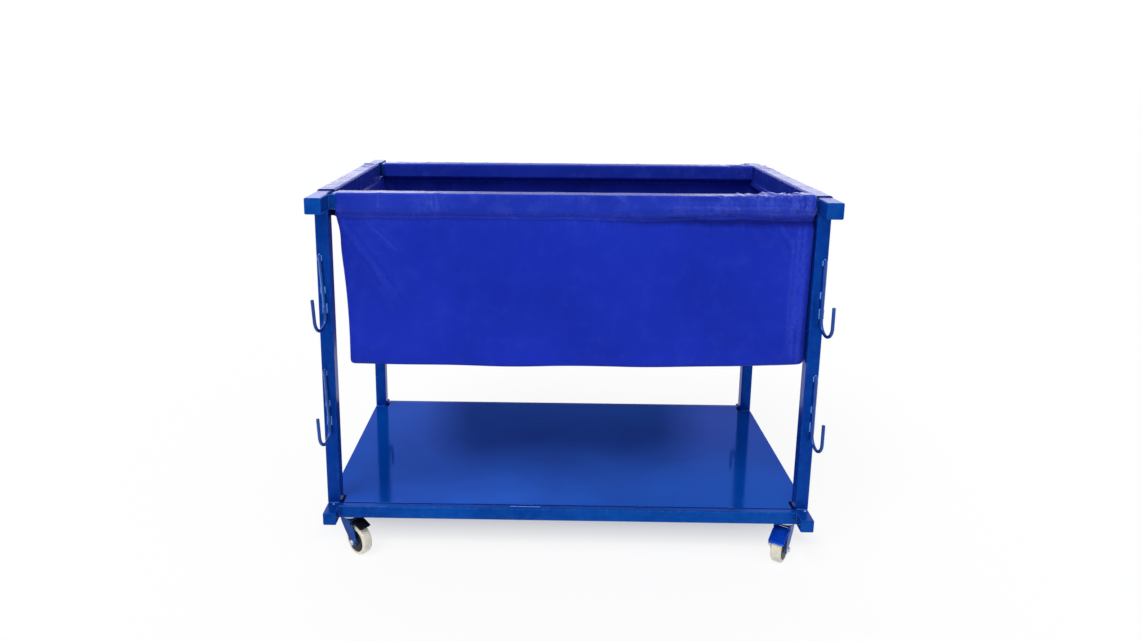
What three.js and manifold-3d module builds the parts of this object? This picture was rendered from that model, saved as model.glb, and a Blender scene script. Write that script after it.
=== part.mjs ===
// A rolling cart for balls: a welded square-tube frame with a sheet shelf, four pairs of hooks,
// a sewn tarpaulin bag whose sleeves hang on the top rails, and four swivel castors.
// Millimetres, +Z up. The origin is on the floor under the middle of the frame, and -Y is the front.

import * as THREE from "three";
import { mergeVertices } from "three/addons/utils/BufferGeometryUtils.js";
import Module from "manifold-3d";

const wasm = await Module();
wasm.setup();

// Frame sizes
const frameWidth = 1200;
const frameDepth = 600;
const legLength = 747.4;
const tubeSide = 32;
const tubeWall = 1.5;
const tubeCornerRadius = 3;
const topTubeSide = 38;
const topTubeWall = 1.5;
const topTubeCornerRadius = 3.5;
const topRailOverhang = 64;
const bottomRailOverhang = 48;
const bottomRailForward = 15;
const capThickness = 3;
const weldGap = 0.3;

// Shelf sheet
const shelfThickness = 1.5;
const shelfFrontSetback = 2;
const shelfNotchWidth = 40;
const shelfNotchDepth = 34;

// Hooks of round bar
const hookBarDiameter = 8;
const hookBendRadius = 30;
const hookStemLength = 145;
const hookTipLength = 48;
const upperHookDrop = 252.4;
const lowerHookHeight = 208;
const frontHookInset = 8;
const rearHookInset = 27;
const rightHookSplay = THREE.MathUtils.degToRad(3);

// Bag
const bagWall = 2;
const bagClearance = 0.3;
const bagSeamDrop = 11;
const bagSeamWidth = 4;
const bagPanelDepth = 380;
const bagRightRise = 14;
const bagFloorSag = 12;
const bagFloorSpare = 30;
const bagEdgeRadius = 16;
const bagCornerRadius = 18;
const bagFrontSeamSetback = 9;
const bagFrontDrawIn = 5;
const bagLeftSeamInset = 42;
const bagRightSeamInset = 40;
const bagLeftDrawIn = 27;
const bagRightDrawIn = 4;
const bagDrawInPower = 2.2;
const frontSleeveLeftGap = 17;
const frontSleeveRightGap = 4;
const leftSleeveStart = 50;
const rightSleeveStart = 17;

// Castors
const castorHeight = 106;
const castorInset = 52;
const frontRightInset = 47;
const frontSetback = 24;
const rearSetback = 30;
const castorTrail = 30;
const plateLength = 92;
const plateWidth = 64;
const plateThickness = 3;
const plateCornerRadius = 7;
const slotSpacingX = 72;
const slotSpacingY = 44;
const slotLength = 13;
const slotWidth = 8.5;
const headRadius = 24;
const headSkirtDepth = 8.5;
const headSkirtWall = 1.8;
const racePlateDepth = 4.4;
const kingpinDiameter = 12;
const kingpinHeadDiameter = 19;
const kingpinHeadThickness = 2.5;
const ballDiameter = 5;
const ballCircleRadius = 16;
const ballCageWidth = 6;
const ballCageThickness = 1;
const ballCount = 8;
const wheelDiameter = 75;
const wheelWidth = 28;
const wheelTreadFlat = 16;
const wheelRimRadius = 33;
const wheelRimInset = 1.2;
const wheelDishRadius = 24;
const wheelDishDepth = 3.2;
const wheelHubRadius = 9;
const coverRadius = 22.8;
const coverThickness = 1.2;
const coverCrown = 0.9;
const coverHoleRadius = 9.6;
const forkGap = 33;
const forkSheet = 3;
const forkBendRadius = 5;
const forkCrownFront = 21;
const forkCrownRear = 23;
const forkCrownSkirt = 9;
const forkEyeRadius = 12.5;
const axleDiameter = 8;
const axleHeadAcrossCorners = 14.6;
const axleHeadThickness = 5.3;
const axleNutThickness = 6.5;
const axleEndLength = 2.5;
const runningGap = 0.3;

// Brake pedals on the front castors
const pedalPinDiameter = 6;
const pedalPinForward = 20;
const pedalPinDrop = 11;
const pedalPinHeadDiameter = 9;
const pedalPinHeadThickness = 1.5;
const pedalHubRadius = 5;
const pedalArmWidth = 30;
const pedalArmReach = 13;
const raisedPad = { width: 32, length: 25, turn: 0 };
const pressedPad = { width: 39, length: 38, turn: THREE.MathUtils.degToRad(12) };
const pedalPadSlope = THREE.MathUtils.degToRad(16);
const pedalSheet = 2.5;
const pedalLipLength = 4;
const pedalLipSlope = THREE.MathUtils.degToRad(50);

// Headings of the wheels: the way each wheel trails behind its swivel, measured from +X
const frontLeftHeading = THREE.MathUtils.degToRad(-40);
const frontRightHeading = THREE.MathUtils.degToRad(-124);
const rearLeftHeading = THREE.MathUtils.degToRad(-72);
const rearRightHeading = THREE.MathUtils.degToRad(-98);

// Numbers of facets
const cornerSteps = 1;
const slotSteps = 2;
const barSides = 8;
const hookBendSteps = 8;
const wheelSides = 24;
const ringSides = 18;
const headSides = 16;
const pinSides = 10;
const hexSides = 6;
const ballSides = 5;
const ballRings = 3;
const bagCornerSteps = 4;
const bagHeightSteps = 4;
const bagEdgeSteps = 3;
const forkSteps = 3;
const weldVertexTolerance = 1e-4;
const cutOverrun = 2;

// Levels and places that follow from the sizes
const axleHeight = (wheelDiameter / 2) * Math.cos(Math.PI / wheelSides);
const bottomRailLevel = castorHeight + weldGap;
const shelfLevel = bottomRailLevel + tubeSide + weldGap;
const legLevel = bottomRailLevel + tubeSide + weldGap;
const topRailLevel = legLevel + legLength + weldGap;
const topRailCentre = topRailLevel + topTubeSide / 2;
const legX = frameWidth / 2 - tubeSide / 2;
const legY = frameDepth / 2 - tubeSide / 2;
const topRailY = frameDepth / 2 - topTubeSide / 2;
const bottomRailY = frameDepth / 2 + bottomRailForward - tubeSide / 2;
const crownTop = castorHeight - plateThickness - racePlateDepth - ballDiameter - 2 * runningGap;
const crownBottom = crownTop - forkSheet;
const forkOuter = forkGap / 2 + forkSheet;

// Materials
const framePaint = new THREE.MeshStandardMaterial({ color: 0x0b449c, roughness: 0.22, metalness: 0.1 });
const shelfPaint = new THREE.MeshStandardMaterial({ color: 0x1048a4, roughness: 0.12, metalness: 0.1 });
const hookPaint = new THREE.MeshStandardMaterial({ color: 0x0a3f94, roughness: 0.25, metalness: 0.1 });
const tarpaulin = new THREE.MeshStandardMaterial({ color: 0x182fac, roughness: 0.45, metalness: 0 });
const zinc = new THREE.MeshStandardMaterial({ color: 0xc9ccd0, roughness: 0.3, metalness: 0.9 });
const castorPaint = new THREE.MeshStandardMaterial({ color: 0x123f96, roughness: 0.3, metalness: 0.2 });
const wheelNylon = new THREE.MeshStandardMaterial({ color: 0xe6e0cc, roughness: 0.5, metalness: 0 });
const blackPlastic = new THREE.MeshStandardMaterial({ color: 0x0d0d10, roughness: 0.4, metalness: 0 });

const cart = new THREE.Group();

// Adds a mesh to a group under a name and returns it.
function addPiece(group, name, geometry, material) {
  const mesh = new THREE.Mesh(geometry, material);
  mesh.name = name;
  group.add(mesh);
  return mesh;
}

// A closed geometry as a solid that can be joined and cut.
function solidFrom(geometry) {
  const bare = geometry.clone();
  bare.deleteAttribute("normal");
  bare.deleteAttribute("uv");
  const merged = mergeVertices(bare, weldVertexTolerance);
  const mesh = new wasm.Mesh({
    numProp: 3,
    vertProperties: merged.attributes.position.array,
    triVerts: new Uint32Array(merged.index.array),
  });
  return new wasm.Manifold(mesh);
}

function geometryFrom(solid) {
  const mesh = solid.getMesh();
  const geometry = new THREE.BufferGeometry();
  geometry.setAttribute("position", new THREE.BufferAttribute(mesh.vertProperties, 3));
  geometry.setIndex(new THREE.BufferAttribute(mesh.triVerts, 1));
  const faceted = geometry.toNonIndexed();
  faceted.computeVertexNormals();
  return faceted;
}

function roundedRectangle(width, height, radius) {
  const path = new THREE.Shape();
  const x = width / 2 - radius;
  const y = height / 2 - radius;
  const quarter = Math.PI / 2;
  path.absarc(x, y, radius, 0, quarter, false);
  path.absarc(-x, y, radius, quarter, 2 * quarter, false);
  path.absarc(-x, -y, radius, 2 * quarter, 3 * quarter, false);
  path.absarc(x, -y, radius, 3 * quarter, 4 * quarter, false);
  path.closePath();
  return path;
}

// An outline extruded along +Z and centred on it.
function centredExtrusion(shape, depth, steps) {
  const options = { depth, bevelEnabled: false, curveSegments: steps };
  return new THREE.ExtrudeGeometry(shape, options).translate(0, 0, -depth / 2);
}

// An outline drawn in X and Z, extruded along Y and centred on it.
function sideExtrusion(shape, width, steps) {
  return centredExtrusion(shape, width, steps).rotateX(Math.PI / 2);
}

function squareTube(side, wall, cornerRadius, length) {
  const section = roundedRectangle(side, side, cornerRadius);
  const innerRadius = Math.max(cornerRadius - wall, cornerRadius / 4);
  section.holes.push(roundedRectangle(side - 2 * wall, side - 2 * wall, innerRadius));
  return centredExtrusion(section, length, cornerSteps);
}

// A turned profile of [radius, height] points about +Z; the points run from the top to the bottom.
function turned(profile, sides) {
  const points = profile.map(([radius, height]) => new THREE.Vector2(radius, height));
  points.reverse();
  return new THREE.LatheGeometry(points, sides, Math.PI / sides).rotateX(Math.PI / 2);
}

// A plain cylinder along Y between two places.
function crossPin(radius, from, to, sides) {
  const pin = new THREE.CylinderGeometry(radius, radius, to - from, sides);
  return pin.translate(0, (from + to) / 2, 0);
}

function box(low, high) {
  const geometry = new THREE.BoxGeometry(high[0] - low[0], high[1] - low[1], high[2] - low[2]);
  const middle = low.map((value, axis) => (value + high[axis]) / 2);
  return geometry.translate(...middle);
}

// The four side rails run from front to back and carry a welded cap on each end.
function addSideRail(name, x, level, side, wall, radius, overhang) {
  const fullLength = frameDepth + 2 * overhang;
  const tubeLength = fullLength - 2 * (capThickness + weldGap);
  const height = level + side / 2;
  const rail = addPiece(cart, name, squareTube(side, wall, radius, tubeLength), framePaint);
  rail.rotation.x = Math.PI / 2;
  rail.position.set(x, 0, height);
  for (const [end, sign] of [["front", -1], ["rear", 1]]) {
    const outline = roundedRectangle(side, side, radius);
    const plate = centredExtrusion(outline, capThickness, cornerSteps);
    const cap = addPiece(cart, `${name}_${end}_cap`, plate, framePaint);
    cap.rotation.x = Math.PI / 2;
    cap.position.set(x, sign * (fullLength / 2 - capThickness / 2), height);
  }
}

// The cross rails run from left to right between the side rails.
function addCrossRail(name, y, level, side, wall, radius, length) {
  const rail = addPiece(cart, name, squareTube(side, wall, radius, length), framePaint);
  rail.rotation.y = Math.PI / 2;
  rail.position.set(0, y, level + side / 2);
}

function addFrame() {
  const topInner = 2 * (legX - topTubeSide / 2 - weldGap);
  const bottomInner = 2 * (legX - tubeSide / 2 - weldGap);
  for (const [side, sign] of [["left", -1], ["right", 1]]) {
    addSideRail(`bottom_rail_${side}`, sign * legX, bottomRailLevel,
      tubeSide, tubeWall, tubeCornerRadius, bottomRailOverhang);
    addSideRail(`top_rail_${side}`, sign * legX, topRailLevel,
      topTubeSide, topTubeWall, topTubeCornerRadius, topRailOverhang);
    for (const [end, endSign] of [["front", -1], ["rear", 1]]) {
      const tube = squareTube(tubeSide, tubeWall, tubeCornerRadius, legLength);
      const leg = addPiece(cart, `leg_${end}_${side}`, tube, framePaint);
      leg.position.set(sign * legX, endSign * legY, legLevel + legLength / 2);
    }
  }
  for (const [end, sign] of [["front", -1], ["rear", 1]]) {
    addCrossRail(`bottom_rail_${end}`, sign * bottomRailY, bottomRailLevel,
      tubeSide, tubeWall, tubeCornerRadius, bottomInner);
    addCrossRail(`top_rail_${end}`, sign * topRailY, topRailLevel,
      topTubeSide, topTubeWall, topTubeCornerRadius, topInner);
  }
}

// The shelf sheet lies on the bottom rails and is notched round the legs.
function addShelf() {
  const x = frameWidth / 2;
  const front = -frameDepth / 2 + shelfFrontSetback;
  const rear = frameDepth / 2 - shelfFrontSetback;
  const innerX = x - shelfNotchWidth;
  const frontNotch = -frameDepth / 2 + shelfNotchDepth;
  const rearNotch = frameDepth / 2 - shelfNotchDepth;
  const outline = new THREE.Shape();
  outline.moveTo(-innerX, front);
  outline.lineTo(innerX, front);
  outline.lineTo(innerX, frontNotch);
  outline.lineTo(x, frontNotch);
  outline.lineTo(x, rearNotch);
  outline.lineTo(innerX, rearNotch);
  outline.lineTo(innerX, rear);
  outline.lineTo(-innerX, rear);
  outline.lineTo(-innerX, rearNotch);
  outline.lineTo(-x, rearNotch);
  outline.lineTo(-x, frontNotch);
  outline.lineTo(-innerX, frontNotch);
  outline.closePath();
  const sheet = addPiece(cart, "shelf_sheet", centredExtrusion(outline, shelfThickness, 1), shelfPaint);
  sheet.position.z = shelfLevel + shelfThickness / 2;
}

// The hook's centre line: down the stem, round the bend and up the tip.
// Each step of the bend gets a station of its own, and the two straights one step each.
class HookCurve extends THREE.Curve {
  getPoint(t) {
    const station = t * (hookBendSteps + 2);
    if (station <= 1) {
      return new THREE.Vector3(0, 0, hookStemLength * (1 - station));
    }
    if (station >= hookBendSteps + 1) {
      const rise = hookTipLength * (station - hookBendSteps - 1);
      return new THREE.Vector3(0, -2 * hookBendRadius, rise);
    }
    const angle = (Math.PI * (station - 1)) / hookBendSteps;
    const reach = hookBendRadius * (Math.cos(angle) - 1);
    return new THREE.Vector3(0, reach, -hookBendRadius * Math.sin(angle));
  }

  getUtoTmapping(u) {
    return u;
  }
}

function addHooks() {
  const section = new THREE.Shape();
  section.absarc(0, 0, hookBarDiameter / 2, 0, 2 * Math.PI, false);
  const options = { steps: hookBendSteps + 2, extrudePath: new HookCurve(), curveSegments: barSides / 2 };
  const standOff = frameDepth / 2 + weldGap + hookBarDiameter / 2;
  for (const [end, endSign, inset] of [["front", -1, frontHookInset], ["rear", 1, rearHookInset]]) {
    for (const [side, sign] of [["left", -1], ["right", 1]]) {
      for (const [row, height] of [["upper", legLength - upperHookDrop], ["lower", lowerHookHeight]]) {
        const geometry = new THREE.ExtrudeGeometry(section, options);
        const hook = addPiece(cart, `hook_${end}_${side}_${row}`, geometry, hookPaint);
        const splay = end === "front" && side === "right" ? rightHookSplay : 0;
        hook.rotation.z = end === "rear" ? Math.PI : splay;
        hook.position.set(sign * (frameWidth / 2 - inset), endSign * standOff, shelfLevel + height);
      }
    }
  }
}

// A sleeve's cross-section round a top rail: snug over the rail, drawn together at the seam below it.
// The first axis runs across the rail and the second is up, both from the rail's centre.
function sleeveSection(seamOffset) {
  const rail = topTubeSide / 2;
  const inner = rail + bagClearance;
  const outer = inner + bagWall;
  const seamLevel = -rail - bagSeamDrop;
  const half = bagSeamWidth / 2;
  const section = new THREE.Shape();
  section.moveTo(-outer, outer);
  section.lineTo(-outer, -rail);
  section.lineTo(seamOffset - half, seamLevel);
  section.lineTo(seamOffset + half, seamLevel);
  section.lineTo(outer, -rail);
  section.lineTo(outer, outer);
  section.closePath();
  const hollow = new THREE.Path();
  hollow.moveTo(-inner, inner);
  hollow.lineTo(inner, inner);
  hollow.lineTo(inner, -inner);
  hollow.lineTo(-inner, -inner);
  hollow.closePath();
  section.holes.push(hollow);
  return section;
}

// One ring of the bag: a rounded rectangle between the left and right sides and the front and back.
function bagRing(left, right, depth, radius, levelAt) {
  const ring = [];
  const corners = [[right, depth, 0], [left, depth, 1], [left, -depth, 2], [right, -depth, 3]];
  for (const [x, y, quarter] of corners) {
    const centreX = x - Math.sign(x) * radius;
    const centreY = y - Math.sign(y) * radius;
    for (let step = 0; step <= bagCornerSteps; step += 1) {
      const angle = (Math.PI / 2) * (quarter + step / bagCornerSteps);
      const px = centreX + radius * Math.cos(angle);
      const py = centreY + radius * Math.sin(angle);
      ring.push([px, py, levelAt(px)]);
    }
  }
  return ring;
}

// The rings of one face of the bag from the rim down to the floor, moved inwards by an inset.
function bagRings(inset) {
  const rim = topRailLevel - bagSeamDrop + bagWall / 2;
  const floor = rim - bagPanelDepth;
  const seamLeft = -(frameWidth / 2 - bagLeftSeamInset);
  const seamRight = frameWidth / 2 - bagRightSeamInset;
  const seamDepth = frameDepth / 2 - bagFrontSeamSetback;
  const rise = (x) => bagRightRise * (Math.max(x, 0) / seamRight) ** 2;
  const ringAt = (drawn, level, edge) => {
    const shrink = inset + edge;
    const radius = Math.max(bagCornerRadius - shrink, bagCornerRadius / 4);
    return bagRing(seamLeft + bagLeftDrawIn * drawn + shrink, seamRight - bagRightDrawIn * drawn - shrink,
      seamDepth - bagFrontDrawIn * drawn - shrink, radius, level);
  };
  const rings = [];
  for (let step = 0; step <= bagHeightSteps; step += 1) {
    const share = step / bagHeightSteps;
    const drop = (bagPanelDepth - bagEdgeRadius) * share;
    const drawn = 1 - (1 - share) ** bagDrawInPower;
    rings.push(ringAt(drawn, (x) => rim - drop + rise(x) * share, 0));
  }
  const edge = bagEdgeRadius - inset;
  for (let step = 1; step <= bagEdgeSteps; step += 1) {
    const angle = ((Math.PI / 2) * step) / bagEdgeSteps;
    const level = floor + bagEdgeRadius - edge * Math.sin(angle);
    rings.push(ringAt(1, (x) => level + rise(x), edge * (1 - Math.cos(angle))));
  }
  const sag = floor + inset - bagFloorSag;
  const spread = frameDepth / 2 - bagFrontSeamSetback - bagFloorSpare;
  rings.push(ringAt(1, (x) => sag + rise(x), edge + spread / 2));
  return rings;
}

// The bag's walls and floor as one closed skin: outer face, rim and inner face.
function bagShell() {
  const outer = bagRings(0);
  const inner = bagRings(bagWall);
  const count = outer[0].length;
  const positions = [...outer, ...inner].flat(2);
  const last = outer.length - 1;
  const index = [];
  const join = (a, b) => {
    for (let i = 0; i < count; i += 1) {
      const next = (i + 1) % count;
      index.push(a + i, b + i, b + next, a + i, b + next, a + next);
    }
  };
  const start = (ring, face) => (face * outer.length + ring) * count;
  for (let ring = 0; ring < last; ring += 1) {
    join(start(ring, 0), start(ring + 1, 0));
    join(start(ring + 1, 1), start(ring, 1));
  }
  join(start(0, 1), start(0, 0));
  const lastRing = outer[last].map(([x, y]) => new THREE.Vector2(x, y));
  for (const [a, b, c] of THREE.ShapeUtils.triangulateShape(lastRing, [])) {
    index.push(start(last, 0) + a, start(last, 0) + c, start(last, 0) + b);
    index.push(start(last, 1) + a, start(last, 1) + b, start(last, 1) + c);
  }
  const geometry = new THREE.BufferGeometry();
  geometry.setAttribute("position", new THREE.Float32BufferAttribute(positions, 3));
  geometry.setIndex(index);
  return geometry;
}

// The bag is sewn in one piece: the shell with its four sleeves, cut clear of rails and legs.
function addBag() {
  let bag = solidFrom(bagShell());
  const seamDepth = frameDepth / 2 - bagFrontSeamSetback - bagWall / 2;
  const crossLeft = -(legX - topTubeSide / 2) + frontSleeveLeftGap;
  const crossRight = legX - topTubeSide / 2 - frontSleeveRightGap;
  for (const sign of [-1, 1]) {
    const section = sleeveSection(sign * (seamDepth - topRailY));
    const sleeve = centredExtrusion(section, crossRight - crossLeft, 1);
    sleeve.rotateX(Math.PI / 2).rotateZ(Math.PI / 2);
    sleeve.translate((crossLeft + crossRight) / 2, sign * topRailY, topRailCentre);
    bag = bag.add(solidFrom(sleeve));
  }
  const sides = [[-1, bagLeftSeamInset, leftSleeveStart], [1, bagRightSeamInset, rightSleeveStart]];
  for (const [sign, seamInset, start] of sides) {
    const seamX = frameWidth / 2 - seamInset - bagWall / 2;
    const section = sleeveSection(sign * (seamX - legX));
    const sleeve = sideExtrusion(section, frameDepth - 2 * start, 1);
    sleeve.translate(sign * legX, 0, topRailCentre);
    bag = bag.add(solidFrom(sleeve));
  }
  for (const sign of [-1, 1]) {
    const half = topTubeSide / 2 + bagClearance;
    const lowRail = [-legX, sign * topRailY - half, topRailCentre - half];
    const highRail = [legX, sign * topRailY + half, topRailCentre + half];
    bag = bag.subtract(solidFrom(box(lowRail, highRail)));
    const sideLow = [sign * legX - half, -frameDepth, topRailCentre - half];
    const sideHigh = [sign * legX + half, frameDepth, topRailCentre + half];
    bag = bag.subtract(solidFrom(box(sideLow, sideHigh)));
    for (const endSign of [-1, 1]) {
      const reach = tubeSide / 2 + bagClearance;
      const lowLeg = [sign * legX - reach, endSign * legY - reach, legLevel];
      const highLeg = [sign * legX + reach, endSign * legY + reach, topRailLevel + bagClearance];
      bag = bag.subtract(solidFrom(box(lowLeg, highLeg)));
    }
  }
  addPiece(cart, "bag", geometryFrom(bag), tarpaulin);
}

// The fixed head of a castor: slotted plate, race with its skirt, and the kingpin riveted through it.
function castorPlate() {
  const outline = roundedRectangle(plateLength, plateWidth, plateCornerRadius);
  for (const signX of [-1, 1]) {
    for (const signY of [-1, 1]) {
      const reach = (slotLength - slotWidth) / 2;
      const x = (signX * slotSpacingX) / 2;
      const y = (signY * slotSpacingY) / 2;
      const slot = new THREE.Path();
      slot.absarc(x + reach, y, slotWidth / 2, -Math.PI / 2, Math.PI / 2, false);
      slot.absarc(x - reach, y, slotWidth / 2, Math.PI / 2, 1.5 * Math.PI, false);
      slot.closePath();
      outline.holes.push(slot);
    }
  }
  const plate = centredExtrusion(outline, plateThickness, slotSteps);
  plate.translate(0, 0, castorHeight - plateThickness / 2);
  const under = castorHeight - plateThickness;
  const pinRadius = kingpinDiameter / 2;
  const headTop = crownBottom - runningGap;
  const head = turned([
    [0, under + plateThickness / 2],
    [headRadius, under + plateThickness / 2],
    [headRadius, under - headSkirtDepth],
    [headRadius - headSkirtWall, under - headSkirtDepth],
    [headRadius - headSkirtWall, under - racePlateDepth],
    [pinRadius, under - racePlateDepth],
    [pinRadius, headTop],
    [kingpinHeadDiameter / 2, headTop],
    [kingpinHeadDiameter / 2, headTop - kingpinHeadThickness],
    [0, headTop - kingpinHeadThickness],
  ], headSides);
  return geometryFrom(solidFrom(plate).add(solidFrom(head)));
}

// The balls of the swivel bearing, held in their flat cage.
function ballRing() {
  const middle = crownTop + runningGap + ballDiameter / 2;
  const inner = ballCircleRadius - ballCageWidth / 2;
  const outer = ballCircleRadius + ballCageWidth / 2;
  const top = middle + ballCageThickness / 2;
  const bottom = middle - ballCageThickness / 2;
  const profile = [[inner, top], [outer, top], [outer, bottom], [inner, bottom], [inner, top]];
  let ring = solidFrom(turned(profile, ballCount));
  for (let i = 0; i < ballCount; i += 1) {
    const angle = (2 * Math.PI * i) / ballCount;
    const ball = new THREE.SphereGeometry(ballDiameter / 2, ballSides, ballRings).rotateX(Math.PI / 2);
    ball.translate(ballCircleRadius * Math.cos(angle), ballCircleRadius * Math.sin(angle), middle);
    ring = ring.add(solidFrom(ball));
  }
  return geometryFrom(ring);
}

// The fork is one stamping: a U of bent sheet seen from the end, trimmed to the side outline.
function castorFork(braked) {
  const foot = axleHeight - forkEyeRadius - cutOverrun;
  const bend = new THREE.Shape();
  const inside = forkGap / 2;
  const insideRadius = forkBendRadius - forkSheet;
  bend.moveTo(-forkOuter, foot);
  bend.lineTo(-inside, foot);
  bend.absarc(-inside + insideRadius, crownBottom - insideRadius, insideRadius, Math.PI, Math.PI / 2, true);
  bend.absarc(inside - insideRadius, crownBottom - insideRadius, insideRadius, Math.PI / 2, 0, true);
  bend.lineTo(inside, foot);
  bend.lineTo(forkOuter, foot);
  bend.absarc(forkOuter - forkBendRadius, crownTop - forkBendRadius, forkBendRadius, 0, Math.PI / 2, false);
  bend.absarc(-forkOuter + forkBendRadius, crownTop - forkBendRadius, forkBendRadius,
    Math.PI / 2, Math.PI, false);
  bend.closePath();
  const length = 2 * (castorTrail + forkCrownRear + forkEyeRadius);
  const folded = centredExtrusion(bend, length, cornerSteps).rotateX(Math.PI / 2).rotateZ(Math.PI / 2);

  const skirt = crownTop - forkCrownSkirt;
  const side = new THREE.Shape();
  side.moveTo(-forkCrownFront, crownTop + cutOverrun);
  side.lineTo(-forkCrownFront, skirt);
  side.quadraticCurveTo(-forkCrownFront / 2, axleHeight + 2 * forkEyeRadius,
    castorTrail - forkEyeRadius, axleHeight);
  side.absarc(castorTrail, axleHeight, forkEyeRadius, Math.PI, 2 * Math.PI, false);
  side.quadraticCurveTo(castorTrail + forkEyeRadius, axleHeight + forkEyeRadius,
    forkCrownRear + forkSheet, skirt);
  side.lineTo(forkCrownRear, skirt + forkSheet);
  side.lineTo(forkCrownRear, crownTop + cutOverrun);
  side.closePath();
  const trimmed = sideExtrusion(side, 2 * (forkOuter + cutOverrun), forkSteps);
  let fork = solidFrom(folded).intersect(solidFrom(trimmed));

  const across = forkOuter + cutOverrun;
  const axleHole = crossPin(axleDiameter / 2 + runningGap, -across, across, pinSides);
  axleHole.translate(castorTrail, 0, axleHeight);
  fork = fork.subtract(solidFrom(axleHole));
  const kingHole = new THREE.CylinderGeometry(kingpinDiameter / 2 + runningGap,
    kingpinDiameter / 2 + runningGap, forkSheet + 2 * cutOverrun, ringSides);
  kingHole.rotateX(Math.PI / 2).translate(0, 0, (crownTop + crownBottom) / 2);
  fork = fork.subtract(solidFrom(kingHole));
  if (braked) {
    const pinHole = crossPin(pedalPinDiameter / 2 + runningGap, -across, across, pinSides);
    pinHole.translate(pedalPinForward, 0, crownTop - pedalPinDrop);
    fork = fork.subtract(solidFrom(pinHole));
  }
  return geometryFrom(fork);
}

// Wheel, covers and axle are turned about Y, the axle's line.
function turnedAboutAxle(profile, sides) {
  return turned(profile, sides).rotateX(-Math.PI / 2).translate(castorTrail, 0, axleHeight);
}

function castorWheel() {
  const half = wheelWidth / 2;
  const radius = wheelDiameter / 2;
  const bore = axleDiameter / 2 + runningGap;
  const face = half - wheelRimInset;
  const dish = half - wheelDishDepth;
  const shoulder = (face + wheelTreadFlat / 2) / 2;
  const oneSide = [
    [bore, half],
    [wheelHubRadius, half],
    [wheelHubRadius, dish],
    [wheelDishRadius, dish],
    [wheelDishRadius, face],
    [wheelRimRadius, face],
    [(radius + radius + wheelRimRadius) / 3, shoulder],
    [radius, wheelTreadFlat / 2],
  ];
  const otherSide = oneSide.map(([r, y]) => [r, -y]).reverse();
  return turnedAboutAxle([...oneSide, ...otherSide, [bore, half]], wheelSides);
}

function wheelCover(sign) {
  const seat = wheelWidth / 2 - wheelDishDepth + runningGap;
  const top = seat + coverThickness + coverCrown;
  const profile = [
    [coverHoleRadius, top],
    [(coverHoleRadius + coverRadius) / 2, top],
    [coverRadius, seat + coverThickness],
    [coverRadius, seat],
    [coverHoleRadius, seat],
    [coverHoleRadius, top],
  ];
  const signed = profile.map(([r, y]) => [r, sign * y]);
  return turnedAboutAxle(sign > 0 ? signed : signed.reverse(), ringSides);
}

// The axle bolt with its head outside one cheek and its nut outside the other.
function castorAxle() {
  const out = forkOuter + runningGap;
  let axle = solidFrom(crossPin(axleDiameter / 2, -out - axleNutThickness - axleEndLength,
    out + axleHeadThickness / 2, pinSides));
  axle = axle.add(solidFrom(crossPin(axleHeadAcrossCorners / 2, out, out + axleHeadThickness, hexSides)));
  axle = axle.add(solidFrom(crossPin(axleHeadAcrossCorners / 2, -out - axleNutThickness, -out, hexSides)));
  return geometryFrom(axle).translate(castorTrail, 0, axleHeight);
}

// The brake pedal: hub and arm between the fork's cheeks, pad over the wheel, and its rivet.
// The left one stands raised and the right one is pressed down, turned about its rivet.
function brakePedal({ width, length, turn }) {
  const pinX = pedalPinForward;
  const pinZ = crownTop - pedalPinDrop;
  const hub = new THREE.Shape();
  const armEnd = pinX + pedalArmReach;
  hub.moveTo(pinX, pinZ - pedalHubRadius);
  hub.absarc(pinX, pinZ, pedalHubRadius, -Math.PI / 2, Math.PI / 2, true);
  hub.lineTo(armEnd, pinZ + pedalHubRadius);
  hub.lineTo(armEnd, pinZ + pedalHubRadius - pedalSheet);
  hub.lineTo(pinX + pedalHubRadius, pinZ + pedalHubRadius - pedalSheet);
  hub.lineTo(pinX + pedalHubRadius, pinZ - pedalHubRadius);
  hub.closePath();
  let pedal = solidFrom(sideExtrusion(hub, pedalArmWidth, forkSteps));

  const along = new THREE.Vector2(Math.cos(pedalPadSlope), -Math.sin(pedalPadSlope));
  const lipAlong = new THREE.Vector2(Math.cos(pedalLipSlope), -Math.sin(pedalLipSlope));
  const down = new THREE.Vector2(along.y, -along.x).multiplyScalar(pedalSheet);
  const lipDown = new THREE.Vector2(lipAlong.y, -lipAlong.x).multiplyScalar(pedalSheet);
  const root = new THREE.Vector2(armEnd - pedalSheet, pinZ + pedalHubRadius);
  const toe = root.clone().addScaledVector(along, length);
  const lip = toe.clone().addScaledVector(lipAlong, pedalLipLength);
  const inner = toe.clone().add(down);
  const pad = new THREE.Shape([
    root,
    root.clone().add(down),
    inner,
    lip.clone().add(lipDown),
    lip,
    toe,
  ]);
  pedal = pedal.add(solidFrom(sideExtrusion(pad, width, 1)));

  const out = forkOuter + runningGap;
  const ends = out + pedalPinHeadThickness;
  const rivet = crossPin(pedalPinDiameter / 2, -ends, ends, pinSides);
  pedal = pedal.add(solidFrom(rivet.translate(pinX, 0, pinZ)));
  for (const sign of [-1, 1]) {
    const half = pedalPinHeadThickness / 2;
    const head = crossPin(pedalPinHeadDiameter / 2, -half, half, pinSides);
    head.translate(pinX, sign * (out + half), pinZ);
    pedal = pedal.add(solidFrom(head));
  }
  return geometryFrom(pedal).translate(-pinX, 0, -pinZ).rotateY(turn).translate(pinX, 0, pinZ);
}

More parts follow.
